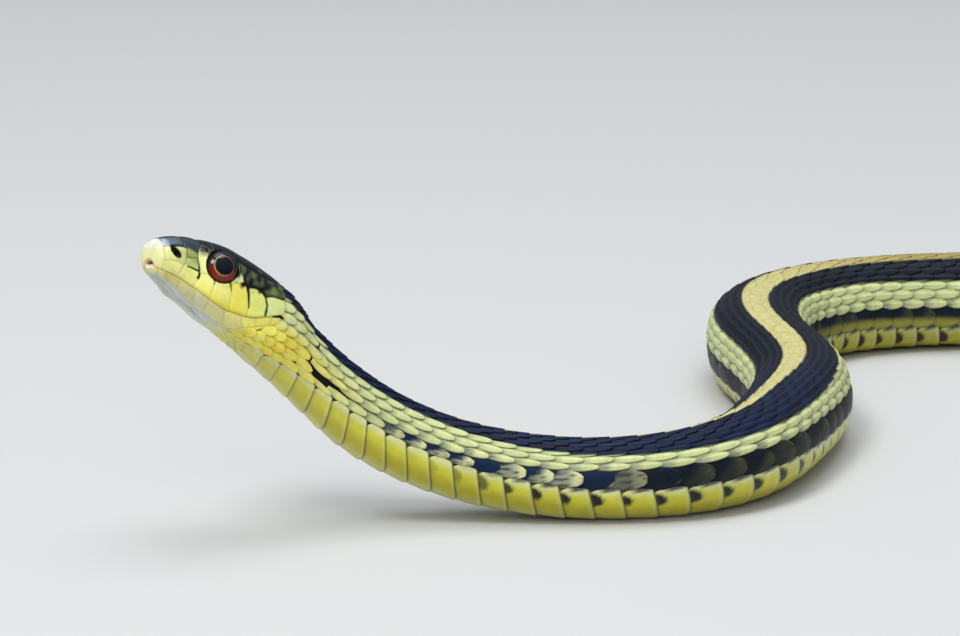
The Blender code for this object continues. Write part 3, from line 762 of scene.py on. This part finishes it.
def make_skin():
    rings = np.concatenate([[0.75, 0.9, 1.1], np.arange(1.3, 24, 0.45),
                            np.arange(24, LENGTH - 0.6, 0.9), [LENGTH - 0.2]])
    s, angle = np.meshgrid(rings, np.arange(0, 360, 5.0), indexing="ij")
    signed = np.where(angle > 180, angle - 360, angle)
    limit = front_limit(np.abs(signed))
    head = step(s, limit + 0.6, limit - 0.6)
    small = np.clip(girth(s) / girth(200), 0.3, 1)
    rise = -SKIN_DEPTH * small * (1 - head) - HEAD_SKIN_DEPTH * head
    points = surface(s, angle, np.maximum(rise, -0.5 * section_reach(s, np.radians(angle))), 0.14)
    points = eye_hollow(points, 1.4)
    tints = skin_colours(s, signed - twist(s)).reshape(-1, 3)
    bake = bake_place(s, signed).reshape(-1, 2)
    grain = np.stack([s, signed * girth(s)], -1).reshape(-1, 2)
    points = np.vstack([points.reshape(-1, 3), points[0].mean(0), points[-1].mean(0)])
    tints = np.vstack([tints, tints[:1], tints[-1:]])
    bake = np.vstack([bake, [[0.015, 0.5], [0.985, 0.5]]])
    grain = np.vstack([grain, grain[:1], grain[-1:]])
    corners, sizes = closed_faces(*s.shape)
    return build_mesh("skin", points, corners, sizes, tints, bake, grain)


# ---------- head shields ----------

LIP = colour(226, 220, 118)
CHIN = colour(192, 198, 188)
BLACK = colour(5, 7, 10)
CROWN = colour(6, 9, 15)
OLIVE = colour(150, 160, 92)
# Shields of the left side: colour, and outline as (distance, named angle). Corners in front of
# the snout's tip only close an outline.
SHIELDS = {
    "rostral": (colour(226, 220, 160), [
        (-1, -95), (-1, 95), (0.88, 90), (0.81, 84.2), (0.57, 70), (0.38, 58.3), (0.27, 48.6),
        (0.23, 37.6), (0.35, 24), (0.5, 12), (0.62, 0), (0.5, -12), (0.35, -24), (0.23, -37.6)
    ]),
    "internasal": (CROWN, [
        (0.62, 0), (0.5, 12), (0.35, 24), (0.23, 37.6), (0.25, 45), (1.0, 47.6), (1.47, 45.5),
        (2.48, 41), (2.6, 17), (2.6, 0)
    ]),
    "prefrontal": (CROWN, [
        (2.6, 0), (2.6, 17), (2.48, 41), (2.87, 41.6), (3.03, 53.4), (4.35, 44.7), (4.42, 32.6),
        (4.6, 26.3), (4.9, 10), (4.9, 0)
    ]),
    "frontal": (CROWN, [
        (4.9, -10), (4.9, 10), (7.4, 8.5), (8.9, 6.5), (9.9, 0), (8.9, -6.5), (7.4, -8.5)
    ]),
    "supraocular": (CROWN, [
        (4.9, 10), (4.6, 26.3), (5.4, 27), (6.25, 26), (7.4, 25), (8.6, 27), (9.6, 31),
        (9.75, 19), (8.9, 6.5), (7.4, 8.5)
    ]),
    "parietal": (CROWN, [
        (9.9, 0), (8.9, 6.5), (9.75, 19), (9.6, 31), (10.2, 31), (11.3, 32), (12.6, 34),
        (14.8, 29), (15.6, 13), (15.7, 0)
    ]),
    "prenasal": (colour(216, 212, 132), [
        (0.25, 45), (0.27, 48.6), (0.38, 58.3), (0.57, 70), (1.08, 69.9), (1.99, 68.1),
        (1.47, 45.5), (1.0, 47.6)
    ]),
    "postnasal": (colour(196, 200, 132), [
        (1.47, 45.5), (1.99, 68.1), (2.87, 69.8), (2.97, 61.5), (2.95, 52.2), (2.87, 41.6),
        (2.48, 41)
    ]),
    "loreal": (colour(178, 192, 116), [
        (3.03, 53.4), (2.97, 61.5), (3.0, 64.3), (3.64, 64.5), (4.88, 60), (4.64, 51.7),
        (4.35, 44.7)
    ]),
    "preocular": (colour(214, 218, 142), [
        (4.6, 26.3), (4.42, 32.6), (4.35, 44.7), (4.64, 51.7), (4.88, 60), (5.05, 65.2),
        (5.95, 60.3), (5.57, 45.4), (5.49, 29.8), (5.4, 27)
    ]),
    "postocular_1": (colour(70, 80, 54), [
        (8.9, 30), (9.3, 39.5), (10.05, 44.1), (10.4, 37), (10.2, 31), (9.6, 31)
    ]),
    "postocular_2": (colour(198, 208, 140), [
        (9.3, 39.5), (9.2, 46.4), (8.8, 52), (8.8, 54.2), (9.6, 52.8), (10.58, 51.8),
        (10.05, 44.1)
    ]),
    "temporal_1": (colour(52, 60, 40), [
        (10.4, 37), (10.05, 44.1), (10.58, 51.8), (10.9, 53), (11.72, 50.8), (12.65, 51.5),
        (13.0, 46), (12.6, 34), (11.3, 32), (10.2, 31)
    ]),
    "temporal_2": (colour(46, 54, 40), [
        (12.6, 34), (13.0, 46), (12.65, 51.5), (13.42, 59.4), (14.0, 57.5), (15.3, 60),
        (16.2, 56), (16.2, 44), (14.8, 29)
    ]),
    "upper_lip_1": (colour(220, 216, 132), [
        (0.57, 70), (0.81, 84.2), (0.88, 90), (2.44, 90), (2.87, 69.8), (1.99, 68.1), (1.08, 69.9)
    ]),
    "upper_lip_2": (colour(224, 220, 130), [
        (2.87, 69.8), (2.44, 90), (4.78, 90), (5.15, 69.8), (5.05, 65.2), (4.88, 60),
        (3.64, 64.5), (3.0, 64.3)
    ]),
    "upper_lip_3": (LIP, [
        (5.15, 69.8), (4.78, 90), (7.18, 90), (7.04, 69.2), (6.88, 63.2), (5.95, 60.3),
        (5.05, 65.2)
    ]),
    "upper_lip_4": (LIP, [
        (6.88, 63.2), (7.04, 69.2), (7.18, 90), (10.09, 90), (9.24, 63), (8.8, 54.2)
    ]),
    "upper_lip_5": (colour(222, 214, 92), [
        (8.8, 54.2), (9.24, 63), (10.09, 90), (12.33, 90), (12.04, 76.1), (10.9, 53),
        (10.58, 51.8), (9.6, 52.8)
    ]),
    "upper_lip_6": (colour(210, 214, 112), [
        (10.9, 53), (12.04, 76.1), (12.33, 90), (14.4, 90), (14.01, 71.3), (13.42, 59.4),
        (12.65, 51.5), (11.72, 50.8)
    ]),
    "upper_lip_7": (colour(200, 208, 134), [
        (14.4, 90), (14.01, 71.3), (13.42, 59.4), (14.0, 57.5), (15.3, 60), (16.2, 66), (16.3, 90)
    ]),
    "mental": (colour(220, 214, 146), [
        (-1, 181), (-1, 95), (0.55, 90), (0.6, 101), (1.26, 158.9), (1.3, 181)
    ]),
    "lower_lip_1": (colour(214, 204, 124), [
        (0.55, 90), (0.6, 101), (1.26, 158.9), (1.3, 181), (2.5, 181), (2.08, 131.7),
        (1.99, 124.8), (1.32, 90)
    ]),
    "lower_lip_2": (colour(208, 198, 118), [
        (1.32, 90), (1.99, 124.8), (2.63, 124.1), (3.52, 118.5), (3.01, 90)
    ]),
    "lower_lip_3": (colour(208, 200, 136), [
        (3.01, 90), (3.52, 118.5), (5.09, 128), (6.22, 130.5), (5.27, 90)
    ]),
    "lower_lip_4": (colour(204, 202, 156), [
        (5.27, 90), (6.22, 130.5), (7.69, 134.3), (8.38, 125), (7.16, 90)
    ]),
    "lower_lip_5": (colour(214, 208, 144), [
        (7.16, 90), (8.38, 125), (9.36, 119.8), (10.82, 114), (9.48, 90)
    ]),
    "lower_lip_6": (colour(218, 212, 128), [
        (9.48, 90), (10.82, 114), (11.94, 117), (12.71, 105.5), (11.72, 90)
    ]),
    "lower_lip_7": (colour(222, 214, 112), [
        (11.72, 90), (12.71, 105.5), (14.1, 101.8), (13.38, 90)
    ]),
    "lower_lip_8": (colour(220, 210, 100), [
        (13.38, 90), (14.1, 101.8), (15.6, 101), (15.2, 90)
    ]),
    "chin_front": (CHIN, [
        (2.5, 181), (2.08, 131.7), (2.63, 124.1), (3.52, 118.5), (5.09, 128), (6.22, 130.5),
        (7.0, 132.5), (7.4, 181)
    ]),
    "chin_back": (CHIN, [
        (7.4, 181), (7.0, 132.5), (7.69, 134.3), (8.38, 125), (9.36, 119.8), (10.82, 114),
        (11.94, 117), (12.9, 130), (12.6, 181)
    ]),
}
# Black marks along sutures: points as (distance, named angle) and the half width at both ends
MARKS = [
    ([(6.86, 62), (7.03, 69)], 0.08, 0.02),
    ([(8.5, 54.5), (8.9, 59), (9.28, 65)], 0.16, 0.03),
    ([(10.8, 52.5), (11.4, 62), (12.1, 77)], 0.2, 0.06),
    ([(10.5, 51.5), (10.9, 52.2), (11.72, 50.4), (12.65, 51.2), (13.42, 59.4), (14.01, 71.3),
      (14.3, 86.5)], 0.07, 0.12),
    ([(3.3, 66.5), (3.7, 64), (4.4, 62), (4.85, 61.5), (5.04, 66), (5.02, 72)], 0.05, 0.16),
    ([(4.36, 44), (4.64, 51.7), (4.88, 60)], 0.04, 0.1),
    ([(15.2, 88.8), (15.8, 88.4), (16.3, 86.5)], 0.05, 0.2),
]
SUTURE = 0.075
NOSTRIL = (1.55, 73.0)
NOSTRIL_LONG = 0.74
NOSTRIL_SHORT = 0.40
NOTCH_WIDTH = 0.95
NOTCH_TOP = 0.02
NOTCH_LINE = -0.80
NOTCH_DEPTH = 0.45
NOSTRIL_DEPTH = 0.45
CREASE = [(1.4, 156), (2.6, 153), (3.7, 148), (5.3, 156), (6.3, 160), (8.4, 172)]
# In front of this distance the mouth follows a height, and not a named angle
FRONT_END = 0.75


def trace(outline, closed):
    """Points on the surface along an outline's sides, without sides in front of the tip."""
    corners = outline + outline[:1] if closed else outline
    line, joined = [], []
    for (s0, a0), (s1, a1) in zip(corners[:-1], corners[1:]):
        if s0 < 0 or s1 < 0:
            continue
        t = np.linspace(0, 1, 6)[:, None]
        places = np.array([s0, a0]) * (1 - t) + np.array([s1, a1]) * t
        points = surface(places[:, 0], head_angle(places[:, 0], places[:, 1]))
        line.append(points[:-1])
        joined.append(points[1:])
    return np.concatenate(line), np.concatenate(joined)


def line_distance(points, outline, closed):
    """Distance in mm from each point to an outline, and how far along it the nearest place is."""
    starts, ends = trace(outline, closed)
    best = np.full(len(points), 9.0)
    share = np.zeros(len(points))
    for k, (a, b) in enumerate(zip(starts, ends)):
        side = b - a
        t = np.clip((points - a) @ side / (side @ side + SMALLEST), 0, 1)
        d = np.linalg.norm(points - a - t[:, None] * side, axis=1)
        share = np.where(d < best, (k + t) / len(starts), share)
        best = np.minimum(best, d)
    return best, share


def inside(s, angle, outline):
    result = np.zeros(s.shape, bool)
    for (s0, a0), (s1, a1) in zip(outline, outline[1:] + outline[:1]):
        if a0 == a1:
            continue
        crosses = (a0 > angle) != (a1 > angle)
        result ^= crosses & (s < (s1 - s0) * (angle - a0) / (a1 - a0) + s0)
    return result


def shield_tints(s, side, kind, flesh):
    """Each shield's own colour, and the distance to the nearest suture."""
    edge = np.full(s.shape, 9.0)
    tint = mix(BLACK, colour(208, 202, 100), step(side, 52, 58))
    for shade, outline in SHIELDS.values():
        places = [p[0] for p in outline if p[0] >= 0]
        near = (s > min(places) - (9 if outline[0][0] < 0 else 0.7)) & (s < max(places) + 0.7)
        d, _ = line_distance(flesh[near], outline, True)
        holds = inside(s[near], kind[near], outline)
        edge[near] = np.minimum(edge[near], d)
        tint[near] = mix(tint[near], shade, np.where(holds, 1.0, 0.5 * step(d, 0.06, 0.0)))
    return tint, np.where(s < 0.2, 9.0, edge)


def head_markings_and_painted_light(s, side, kind, lower, height, edge):
    """Colours and painted light over the shields' own, each with its share at every place, in
    painting order.
    """
    snout = (kind < 90) * step(s, 0.9, 0.6)
    olive = step(s, 2.7, 3.0) * step(s, 4.55, 4.3) * step(side, 36, 42) * step(side, 56, 52)
    snout_sheen_band = step(side, 48 - 2.2 * s, 41 - 2.2 * s) * step(side, 16, 26)
    snout_sheen_band = snout_sheen_band * step(s, 0.25, 0.5) * step(s, 5.2, 3.6)
    glint = bump(s, 0.42, 0.3) * step(side, 42, 34) * step(side, 8, 16)
    top = step(side, 24, 17) * step(s, 0.45, 0.62) * step(s, 1.3, 0.8)
    brow = step(s, 4.4, 4.7) * step(s, 6.1, 5.8)
    rear = step(s, 9.6, 10.2) * step(side, 60, 54) * step(side, 24, 32)
    wave = 0.5 + 0.25 * np.sin(3.1 * s + 0.31 * side) + 0.25 * np.sin(5.3 * s - 0.23 * side + 1.0)
    black = np.clip(step(edge, 0.32, 0.10) + 0.9 * step(wave, 0.45, 0.2), 0, 1)
    green = bump(side, 52, 5) * bump(s, 14.2, 0.7) + bump(side, 50, 5) * bump(s, 15.9, 0.5)
    lips = step(side, 60, 68) * step(kind, 90.05, 89)
    return [
        # The snout's top is painted creamy white as a highlight over its yellow cream, with a
        # blue-grey painted glint, and a blue-grey band of painted sheen runs back under the black
        # crown
        (colour(236, 236, 218), 0.85 * snout * step(height, 0.6, 1.9) * step(side, 60, 40)),
        (colour(222, 216, 134), 0.8 * snout * step(height, 0.2, -0.6)),
        (OLIVE, 0.95 * olive),
        (colour(82, 100, 118), 0.85 * snout_sheen_band),
        (colour(32, 44, 52), 0.85 * snout_sheen_band * step(s, 1.6, 2.9)),
        (colour(160, 176, 190), 0.8 * glint),
        (BLACK, 0.85 * top),
        (colour(120, 132, 84), 0.8 * brow * step(side, 42, 37)),
        (CROWN, brow * step(side, 37, 32)),
        # Blotches behind the eye
        (colour(88, 98, 52), rear * step(edge, 0.25, 0.7) * step(wave, 0.45, 0.85)),
        (BLACK, rear * black),
        (colour(120, 140, 74), 0.6 * np.clip(green, 0, 1) * step(edge, 0.05, 0.3)),
        # Upper lip: painted light, paler above where the light falls, and a richer yellow lower
        # down under the eye near the mouth
        (colour(206, 192, 52), 0.75 * lips * bump(s, 9.3, 3.0) * step(side, 72, 88)),
        (colour(236, 230, 158), 0.6 * lips * bump(s, 6.9, 1.6) * step(side, 78, 66)),
        # Chin and lower lip
        (CHIN, lower * step(side, 118, 140) * step(s, 0.6, 1.1) * step(s, 9.5, 6.5)),
        (colour(204, 198, 104), 0.8 * lower * step(s, 9.0, 12.0) * step(side, 108, 118)),
        (colour(188, 172, 172), 0.45 * lower * bump(s, 4.6, 0.6) * bump(side, 112, 9)),
    ]


def eye_surround(flesh):
    """The eye's black surround with its share, thickest above and in front."""
    centre, axes = EYES[1]
    local = (flesh - centre) @ axes.T
    off = np.hypot(local[..., 0], local[..., 1])
    above = step(local[..., 1] + 0.5 * local[..., 0], -0.3, 1.1)
    rim = step(off, 2.02 + 0.42 * above, 1.94 + 0.2 * above)
    return BLACK, rim * (0.25 + 0.75 * above)


def head_surface(s, named):
    """Rise, colour and the tongue's notch at distances and named angles, alike on both sides."""
    side = np.abs(named)
    true = head_angle(s, side)
    flesh = surface(s, true)
    around = np.radians(true)
    reach = section_reach(s, around)
    height, across = reach * np.cos(around) + section_sizes(s)[3], reach * np.sin(around)
    front = step(s, FRONT_END, 0.5)
    below = (1 - front) * (side - 90) * girth(s) + front * (NOTCH_LINE - 0.07 - height)
    kind = np.where((s < FRONT_END) & (below < 0), np.minimum(side, 89.9), side)
    kind = np.where((s < FRONT_END) & (below > 0), np.maximum(kind, 90.1), kind)
    tint, edge = shield_tints(s, side, kind, flesh)
    lower = step(kind, 89.95, 90.05)
    for shade, share in head_markings_and_painted_light(s, side, kind, lower, height, edge) + [eye_surround(flesh)]:
        tint = mix(tint, shade, share)
    dark = 0.15 + 0.4 * step(side, 60, 50)
    tint = tint * (1 - dark * bump(edge, 0, SUTURE))[..., None]
    rise = -0.055 * bump(edge, 0, 0.08) + 0.045 * (1 - np.exp(-edge / 0.3))
    for outline, start, end in MARKS:
        d, share = line_distance(flesh.reshape(-1, 3), outline, False)
        d, share = d.reshape(s.shape), share.reshape(s.shape)
        width = start + (end - start) * share
        tint = mix(tint, BLACK, step(d, width + 0.06, width - 0.02))
        rise = rise - 0.04 * step(d, width + 0.08, width - 0.03)
    # A long crease lies along the chin's shields
    d, _ = line_distance(flesh.reshape(-1, 3), CREASE, False)
    crease = bump(d.reshape(s.shape), 0, 0.09)
    tint = tint * (1 - 0.45 * crease)[..., None]
    # The chin's underside by the midline is painted grey as shade
    chin = lower * step(side, 152, 168) * step(s, 1.2, 2.4) * step(s, 11, 8)
    tint = mix(tint, colour(150, 156, 150), 0.35 * chin)
    rise = rise - 0.06 * crease
    # The mouth is a soft groove, with the upper lip a little proud of the lower one
    groove = bump(below, 0, 0.075) * step(across, 0.6, 1.2)
    groove = groove * step(s, MOUTH_END + 0.3, MOUTH_END - 0.4)
    rise = rise - 0.085 * groove
    rise = rise + 0.07 * bump(below, -0.38, 0.3) * step(s, 0.8, 1.8) * step(s, 16.2, 14)
    rise = rise - 0.04 * step(below, 0.02, 0.3) * step(s, 0.4, 1.0) * step(s, 17, 14)
    tint = mix(tint, colour(150, 132, 44), (0.4 - 0.3 * front) * groove)
    # The notch for the tongue: reddish inside, and white below, where the lower jaw's pale tip
    # carries a painted highlight
    over = (height - NOTCH_LINE) / (NOTCH_TOP - NOTCH_LINE)
    under = (NOTCH_LINE - height) / 0.12
    arch = np.hypot(across / NOTCH_WIDTH, np.where(height > NOTCH_LINE, over, under))
    notch = step(arch, 1.06, 0.82) * (s < 1.6)
    tint = mix(tint, colour(196, 132, 88), bump(arch, 1.1, 0.12) * (s < 1.6) * 0.6)
    tint = mix(tint, colour(128, 30, 26), notch * step(height, -0.52, -0.36))
    tint = mix(tint, colour(232, 226, 216), notch * step(height, -0.36, -0.54))
    return rise, tint, notch * step(height, NOTCH_LINE - 0.05, NOTCH_LINE + 0.35)


# The head's mesh: columns on half of it, space between rows at the snout and behind, and the end
HEAD_COLUMNS = 161
SNOUT_ROW = 0.085
HEAD_ROW = 0.09
HEAD_MESH_END = 15.6


def head_columns():
    """Named angles round the head, closer together along the mouth."""
    even = np.linspace(0, 180, 721)
    spread = 1 + 2.2 * bump(even, 90, 7)
    total = np.concatenate([[0], np.cumsum((spread[1:] + spread[:-1]) / 2)])
    half = np.interp(np.linspace(0, total[-1], HEAD_COLUMNS), total, even)
    return np.concatenate([half, -half[1:-1][::-1]])


def head_rows():
    """Distances of the head's rows, evenly spaced over the snout's round front as well."""
    rounds = np.linspace(0.03, 0.975, 4000)
    ends = SNOUT_LENGTH * (1 - (1 - rounds**3.6) ** (1 / 3.6))
    moves = np.hypot(np.diff(ends), 3.4 * np.diff(rounds))
    along = np.concatenate([[0], np.cumsum(moves)])
    fronts = np.interp(np.arange(0, along[-1], SNOUT_ROW), along, ends)
    return np.concatenate([fronts, np.arange(fronts[-1] + HEAD_ROW, HEAD_MESH_END, HEAD_ROW)])


def nostril_share(points, side, outward):
    """How deep in the slanting nostril of one side each point lies: 1 at its rim, less within."""
    away = points - surface(NOSTRIL[0], side * NOSTRIL[1])
    forward = away @ -SPINE.at(SPINE.tangent, NOSTRIL[0])
    upward = away @ SPINE.at(SPINE.up, NOSTRIL[0])
    off = np.hypot((0.8 * forward + 0.6 * upward) / NOSTRIL_LONG,
                   (0.8 * upward - 0.6 * forward) / NOSTRIL_SHORT)
    return np.where(away @ outward > -1.2, off, 9.0)


def make_head_shields():
    base = head_rows()
    s, angle = np.meshgrid(base, head_columns(), indexing="ij")
    limit = front_limit(np.abs(head_angle(15.0 + 0 * angle, angle))) + 0.25
    s = s + step(s, 9.0, base[-1]) * (limit - base[-1])
    rise, tint, notch = head_surface(s, angle)
    true = head_angle(s, angle)
    points = surface(s, true, rise)
    points = points + (NOTCH_DEPTH * notch)[..., None] * SPINE.at(SPINE.tangent, 0.0)
    for side, (_, axes) in EYES.items():
        off = nostril_share(points, side, axes[2])
        points = points - (NOSTRIL_DEPTH * step(off, 1.15, 0.6))[..., None] * axes[2]
        # The nostril's inside is painted near black as shade in the hole
        tint = mix(tint, colour(1, 1, 2), step(off, 1.22, 1.02))
    points = eye_hollow(points, 0.3)
    # The shields' rear edge turns in, and the piece is closed at both ends
    rows, columns = s.shape
    back = surface(s[-1] + 0.02, true[-1], -0.45)
    nose = points[0].mean(axis=0)
    points = np.vstack([points.reshape(-1, 3), back, nose, back.mean(axis=0)])
    tint = tint.reshape(-1, 3)
    tint = np.vstack([tint, tint[-columns:], tint[:1], tint[-1:]])
    place = np.stack([s / 17.5, 0.5 + angle / 370], -1).reshape(-1, 2)
    place = np.vstack([place, place[-columns:] + [0.004, 0], [[0.0, 0.5]], [[0.99, 0.5]]])
    grain = np.stack([s, angle * girth(s)], -1).reshape(-1, 2)
    grain = np.vstack([grain, grain[-columns:], grain[:1], grain[-1:]])
    corners, sizes = closed_faces(rows + 1, columns)
    return build_mesh("head_shields", points, corners, sizes, np.clip(tint, 0, 1), place, grain)


# ---------- eyes ----------

PUPIL = 1.13


def make_eye(name, side):
    centre, axes = EYES[side]
    rings, columns = 72, 96
    polar = np.linspace(0, math.pi, rings + 1)[1:-1]
    round_angle = np.linspace(0, 2 * math.pi, columns, endpoint=False)
    p, q = np.meshgrid(polar, round_angle, indexing="ij")
    local = np.stack([np.sin(p) * np.cos(q), np.sin(p) * np.sin(q), np.cos(p)], -1)
    local = local * [EYE_RADIUS, EYE_RADIUS, EYE_HALF_DEPTH]
    poles = [[0, 0, EYE_HALF_DEPTH], [0, 0, -EYE_HALF_DEPTH]]
    local = np.concatenate([local.reshape(-1, 3), poles])
    points = local @ axes + centre
    off = np.hypot(local[:, 0], local[:, 1])
    turn = np.arctan2(local[:, 1], local[:, 0])
    # The iris is red-brown below and dark purple above, the purple a painted haze of reflection
    below = step(-np.sin(turn) + 0.15 * np.cos(turn), -0.25, 0.85)
    iris = mix(colour(24, 12, 26), colour(112, 22, 10), below)
    iris = mix(iris, colour(22, 5, 8), step(off, 1.6, 1.95))
    rays = 0.5 + 0.5 * np.sin(23 * turn + 3 * np.sin(5 * turn))
    iris = mix(iris, colour(150, 56, 24), 0.3 * rays * step(off, 1.75, 1.3) * below)
    bright = 0.25 + 0.75 * step(-np.cos(turn) - 0.2 * np.sin(turn), -0.7, 0.5)
    tint = mix(iris, colour(236, 196, 110), bump(off, PUPIL + 0.05, 0.035) * bright)
    tint = mix(tint, colour(3, 7, 18), step(off, PUPIL + 0.03, PUPIL - 0.03))
    corners, sizes = closed_faces(rings - 1, columns)
    return build_mesh(name, points, corners, sizes, tint)


# ---------- materials ----------

MOTTLE_SCALE = 900.0


def fill_inputs(tree, node, values):
    """Sets a node's inputs to values, or links them where a socket is given."""
    for key, value in values.items():
        if isinstance(value, bpy.types.NodeSocket):
            tree.links.new(value, node.inputs[key])
        else:
            node.inputs[key].default_value = value


def add_node(tree, kind, values, **settings):
    node = tree.nodes.new("ShaderNode" + kind)
    for key, value in settings.items():
        setattr(node, key, value)
    fill_inputs(tree, node, values)
    return node


def noise(tree, vector, scale, detail, stretch=(1, 1, 1)):
    mapping = add_node(tree, "Mapping", {"Scale": stretch, "Vector": vector})
    values = {"Scale": scale, "Detail": detail, "Vector": mapping.outputs["Vector"]}
    return add_node(tree, "TexNoise", values).outputs["Fac"]


def ranged(tree, value, low, high, start=0.3, end=0.7):
    values = {"From Min": start, "From Max": end, "To Min": low, "To Max": high, "Value": value}
    return add_node(tree, "MapRange", values).outputs["Result"]


def tinted_material(name):
    """A material with its node tree, its shader and the mesh's tint."""
    material = bpy.data.materials.new(name)
    material.use_nodes = True
    tree = material.node_tree
    tint = add_node(tree, "VertexColor", {}, layer_name="tint").outputs["Color"]
    return material, tree, tree.nodes["Principled BSDF"], tint


def scaly_material(name, rough, fine, ridge, coat, wobble, sheen, dark_gloss):
    """The mesh's tint, finely mottled, with grooves along the body and a gloss for dark places."""
    material, tree, shader, tint = tinted_material(name)
    body = add_node(tree, "TexCoord", {}).outputs["Object"]
    along = add_node(tree, "UVMap", {}, uv_map="grain").outputs["UV"]
    level = ranged(tree, noise(tree, body, MOTTLE_SCALE, 4.0), 1 - wobble, 1 + wobble)
    levels = add_node(tree, "CombineColor", {"Red": level, "Green": level, "Blue": level})
    shade = add_node(tree, "Mix", {"Factor": 1.0, "A": tint, "B": levels.outputs["Color"]},
                     data_type="RGBA", blend_type="MULTIPLY")
    grain = noise(tree, along, 1.6, 3.0, (1.0, 9.0, 1.0))
    grey = add_node(tree, "RGBToBW", {"Color": tint}).outputs["Val"]
    roughness = add_node(tree, "Math", {
        0: ranged(tree, grain, rough - 0.05, rough + 0.08),
        1: ranged(tree, grey, -dark_gloss, 0.0, 0.0, 0.06),
    })
    bumps = add_node(tree, "Bump", {"Strength": ridge, "Distance": fine, "Height": grain})
    fill_inputs(tree, shader, {
        "Base Color": shade.outputs["Result"], "Roughness": roughness.outputs["Value"],
        "Normal": bumps.outputs["Normal"], "Specular IOR Level": sheen, "Coat Weight": coat,
        "Coat Roughness": 0.25,
    })
    return material


def eye_material():
    material, tree, shader, tint = tinted_material("eye_gloss")
    fill_inputs(tree, shader, {
        "Base Color": tint, "Roughness": 0.22, "Specular IOR Level": 0.15, "Coat Weight": 0.4,
        "Coat Roughness": 0.05,
    })
    return material


scales_finish = scaly_material("scale_finish", rough=0.38, fine=0.00006, ridge=0.5, coat=0.0,
                               wobble=0.12, sheen=0.16, dark_gloss=-0.10)
belly_finish = scaly_material("belly_finish", rough=0.34, fine=0.00002, ridge=0.25, coat=0.2,
                              wobble=0.07, sheen=0.24, dark_gloss=0.08)
head_finish = scaly_material("head_finish", rough=0.34, fine=0.00002, ridge=0.25, coat=0.12,
                             wobble=0.07, sheen=0.22, dark_gloss=0.10)
skin_finish = scaly_material("skin_finish", rough=0.55, fine=0.00005, ridge=0.5, coat=0.0,
                             wobble=0.15, sheen=0.16, dark_gloss=0.0)
eye_finish = eye_material()

skin = make_skin()
skin.data.materials.append(skin_finish)
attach(skin, "root")
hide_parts("head", "neck", "tail_1", "tail_2", *[f"body_{k}" for k in range(1, 8)])

shields = make_head_shields()
shields.data.materials.append(head_finish)
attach(shields, "root")

for piece in make_dorsal_scales():
    piece.data.materials.append(scales_finish)
    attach(piece, "root")
for piece in (make_throat_scales(), make_belly_scutes(), make_tail_scutes()):
    piece.data.materials.append(belly_finish)
    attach(piece, "root")

for side_name, side in (("left", 1), ("right", -1)):
    eye = make_eye(f"eyeball_{side_name}", side)
    eye.data.materials.append(eye_finish)
    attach(eye, "root")
    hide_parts(f"eye_{side_name}")


# ---------- floor, light and camera ----------

def plain_material(name, red, green, blue, rough):
    material = bpy.data.materials.new(name)
    material.use_nodes = True
    shader = material.node_tree.nodes["Principled BSDF"]
    shader.inputs["Base Color"].default_value = (red, green, blue, 1.0)
    shader.inputs["Roughness"].default_value = rough
    return material


FLOOR_SIZE = 12.0
FLOOR_DROP = 0.00002
bpy.ops.mesh.primitive_plane_add(size=FLOOR_SIZE, location=(0, 0, -FLOOR_DROP))
floor = bpy.context.active_object
floor.name = "floor"
floor.data.materials.append(plain_material("floor_finish", 0.55, 0.545, 0.53, 0.85))


def area_light(name, place, target, size, power, tint):
    light = bpy.data.lights.new(name, "AREA")
    light.shape = "DISK"
    light.size = size
    light.energy = power
    light.color = tint
    obj = bpy.data.objects.new(name, light)
    bpy.context.scene.collection.objects.link(obj)
    obj.location = place
    direction = np.array(target, float) - np.array(place, float)
    yaw = math.atan2(direction[1], direction[0])
    pitch = math.atan2(direction[2], math.hypot(direction[0], direction[1]))
    obj.rotation_euler = (pitch + math.pi / 2, 0, yaw - math.pi / 2)
    return obj


HEAD_PLACE = (-0.22, -0.05, 0.03)
area_light("key", (-0.50, -0.42, 0.80), HEAD_PLACE, 0.34, 5.4, (0.94, 0.97, 1.0))
area_light("top", (-0.05, 0.10, 1.0), (0, 0, 0), 0.7, 4.6, (0.96, 0.98, 1.0))
fill = area_light("fill", (-0.2, -1.5, 1.0), (-0.1, 0, 0), 1.1, 9.0, (1.0, 0.98, 0.94))
fill.visible_glossy = False

SKY_LOW = 0.20
SKY_HIGH = 0.60
world = bpy.data.worlds.new("studio")
bpy.context.scene.world = world
world.use_nodes = True
sky = world.node_tree
direction = add_node(sky, "TexCoord", {}).outputs["Generated"]
height = add_node(sky, "SeparateXYZ", {"Vector": direction}).outputs["Z"]
strength = ranged(sky, height, SKY_LOW, SKY_HIGH, 0.0, 0.9)
fill_inputs(sky, sky.nodes["Background"], {"Strength": strength, "Color": (0.80, 0.86, 0.95, 1.0)})

LOOK = np.array([ANCHOR_PLACE[0] - 10.8, ANCHOR_PLACE[1] + 40.4, 15.0]) * MM
CAMERA_DISTANCE = 0.512
ELEVATION = math.radians(13.0)
camera_data = bpy.data.cameras.new("camera")
camera_data.lens = 150.0
camera_data.sensor_width = 36.0
camera_data.clip_start = 0.01
camera_data.clip_end = 50.0
camera = bpy.data.objects.new("camera", camera_data)
bpy.context.scene.collection.objects.link(camera)
VIEW = np.array([0, math.cos(ELEVATION), -math.sin(ELEVATION)])
camera.location = LOOK - CAMERA_DISTANCE * VIEW
camera.rotation_euler = (math.pi / 2 - ELEVATION, 0, 0)
bpy.context.scene.camera = camera
bpy.context.scene.view_settings.view_transform = "Standard"
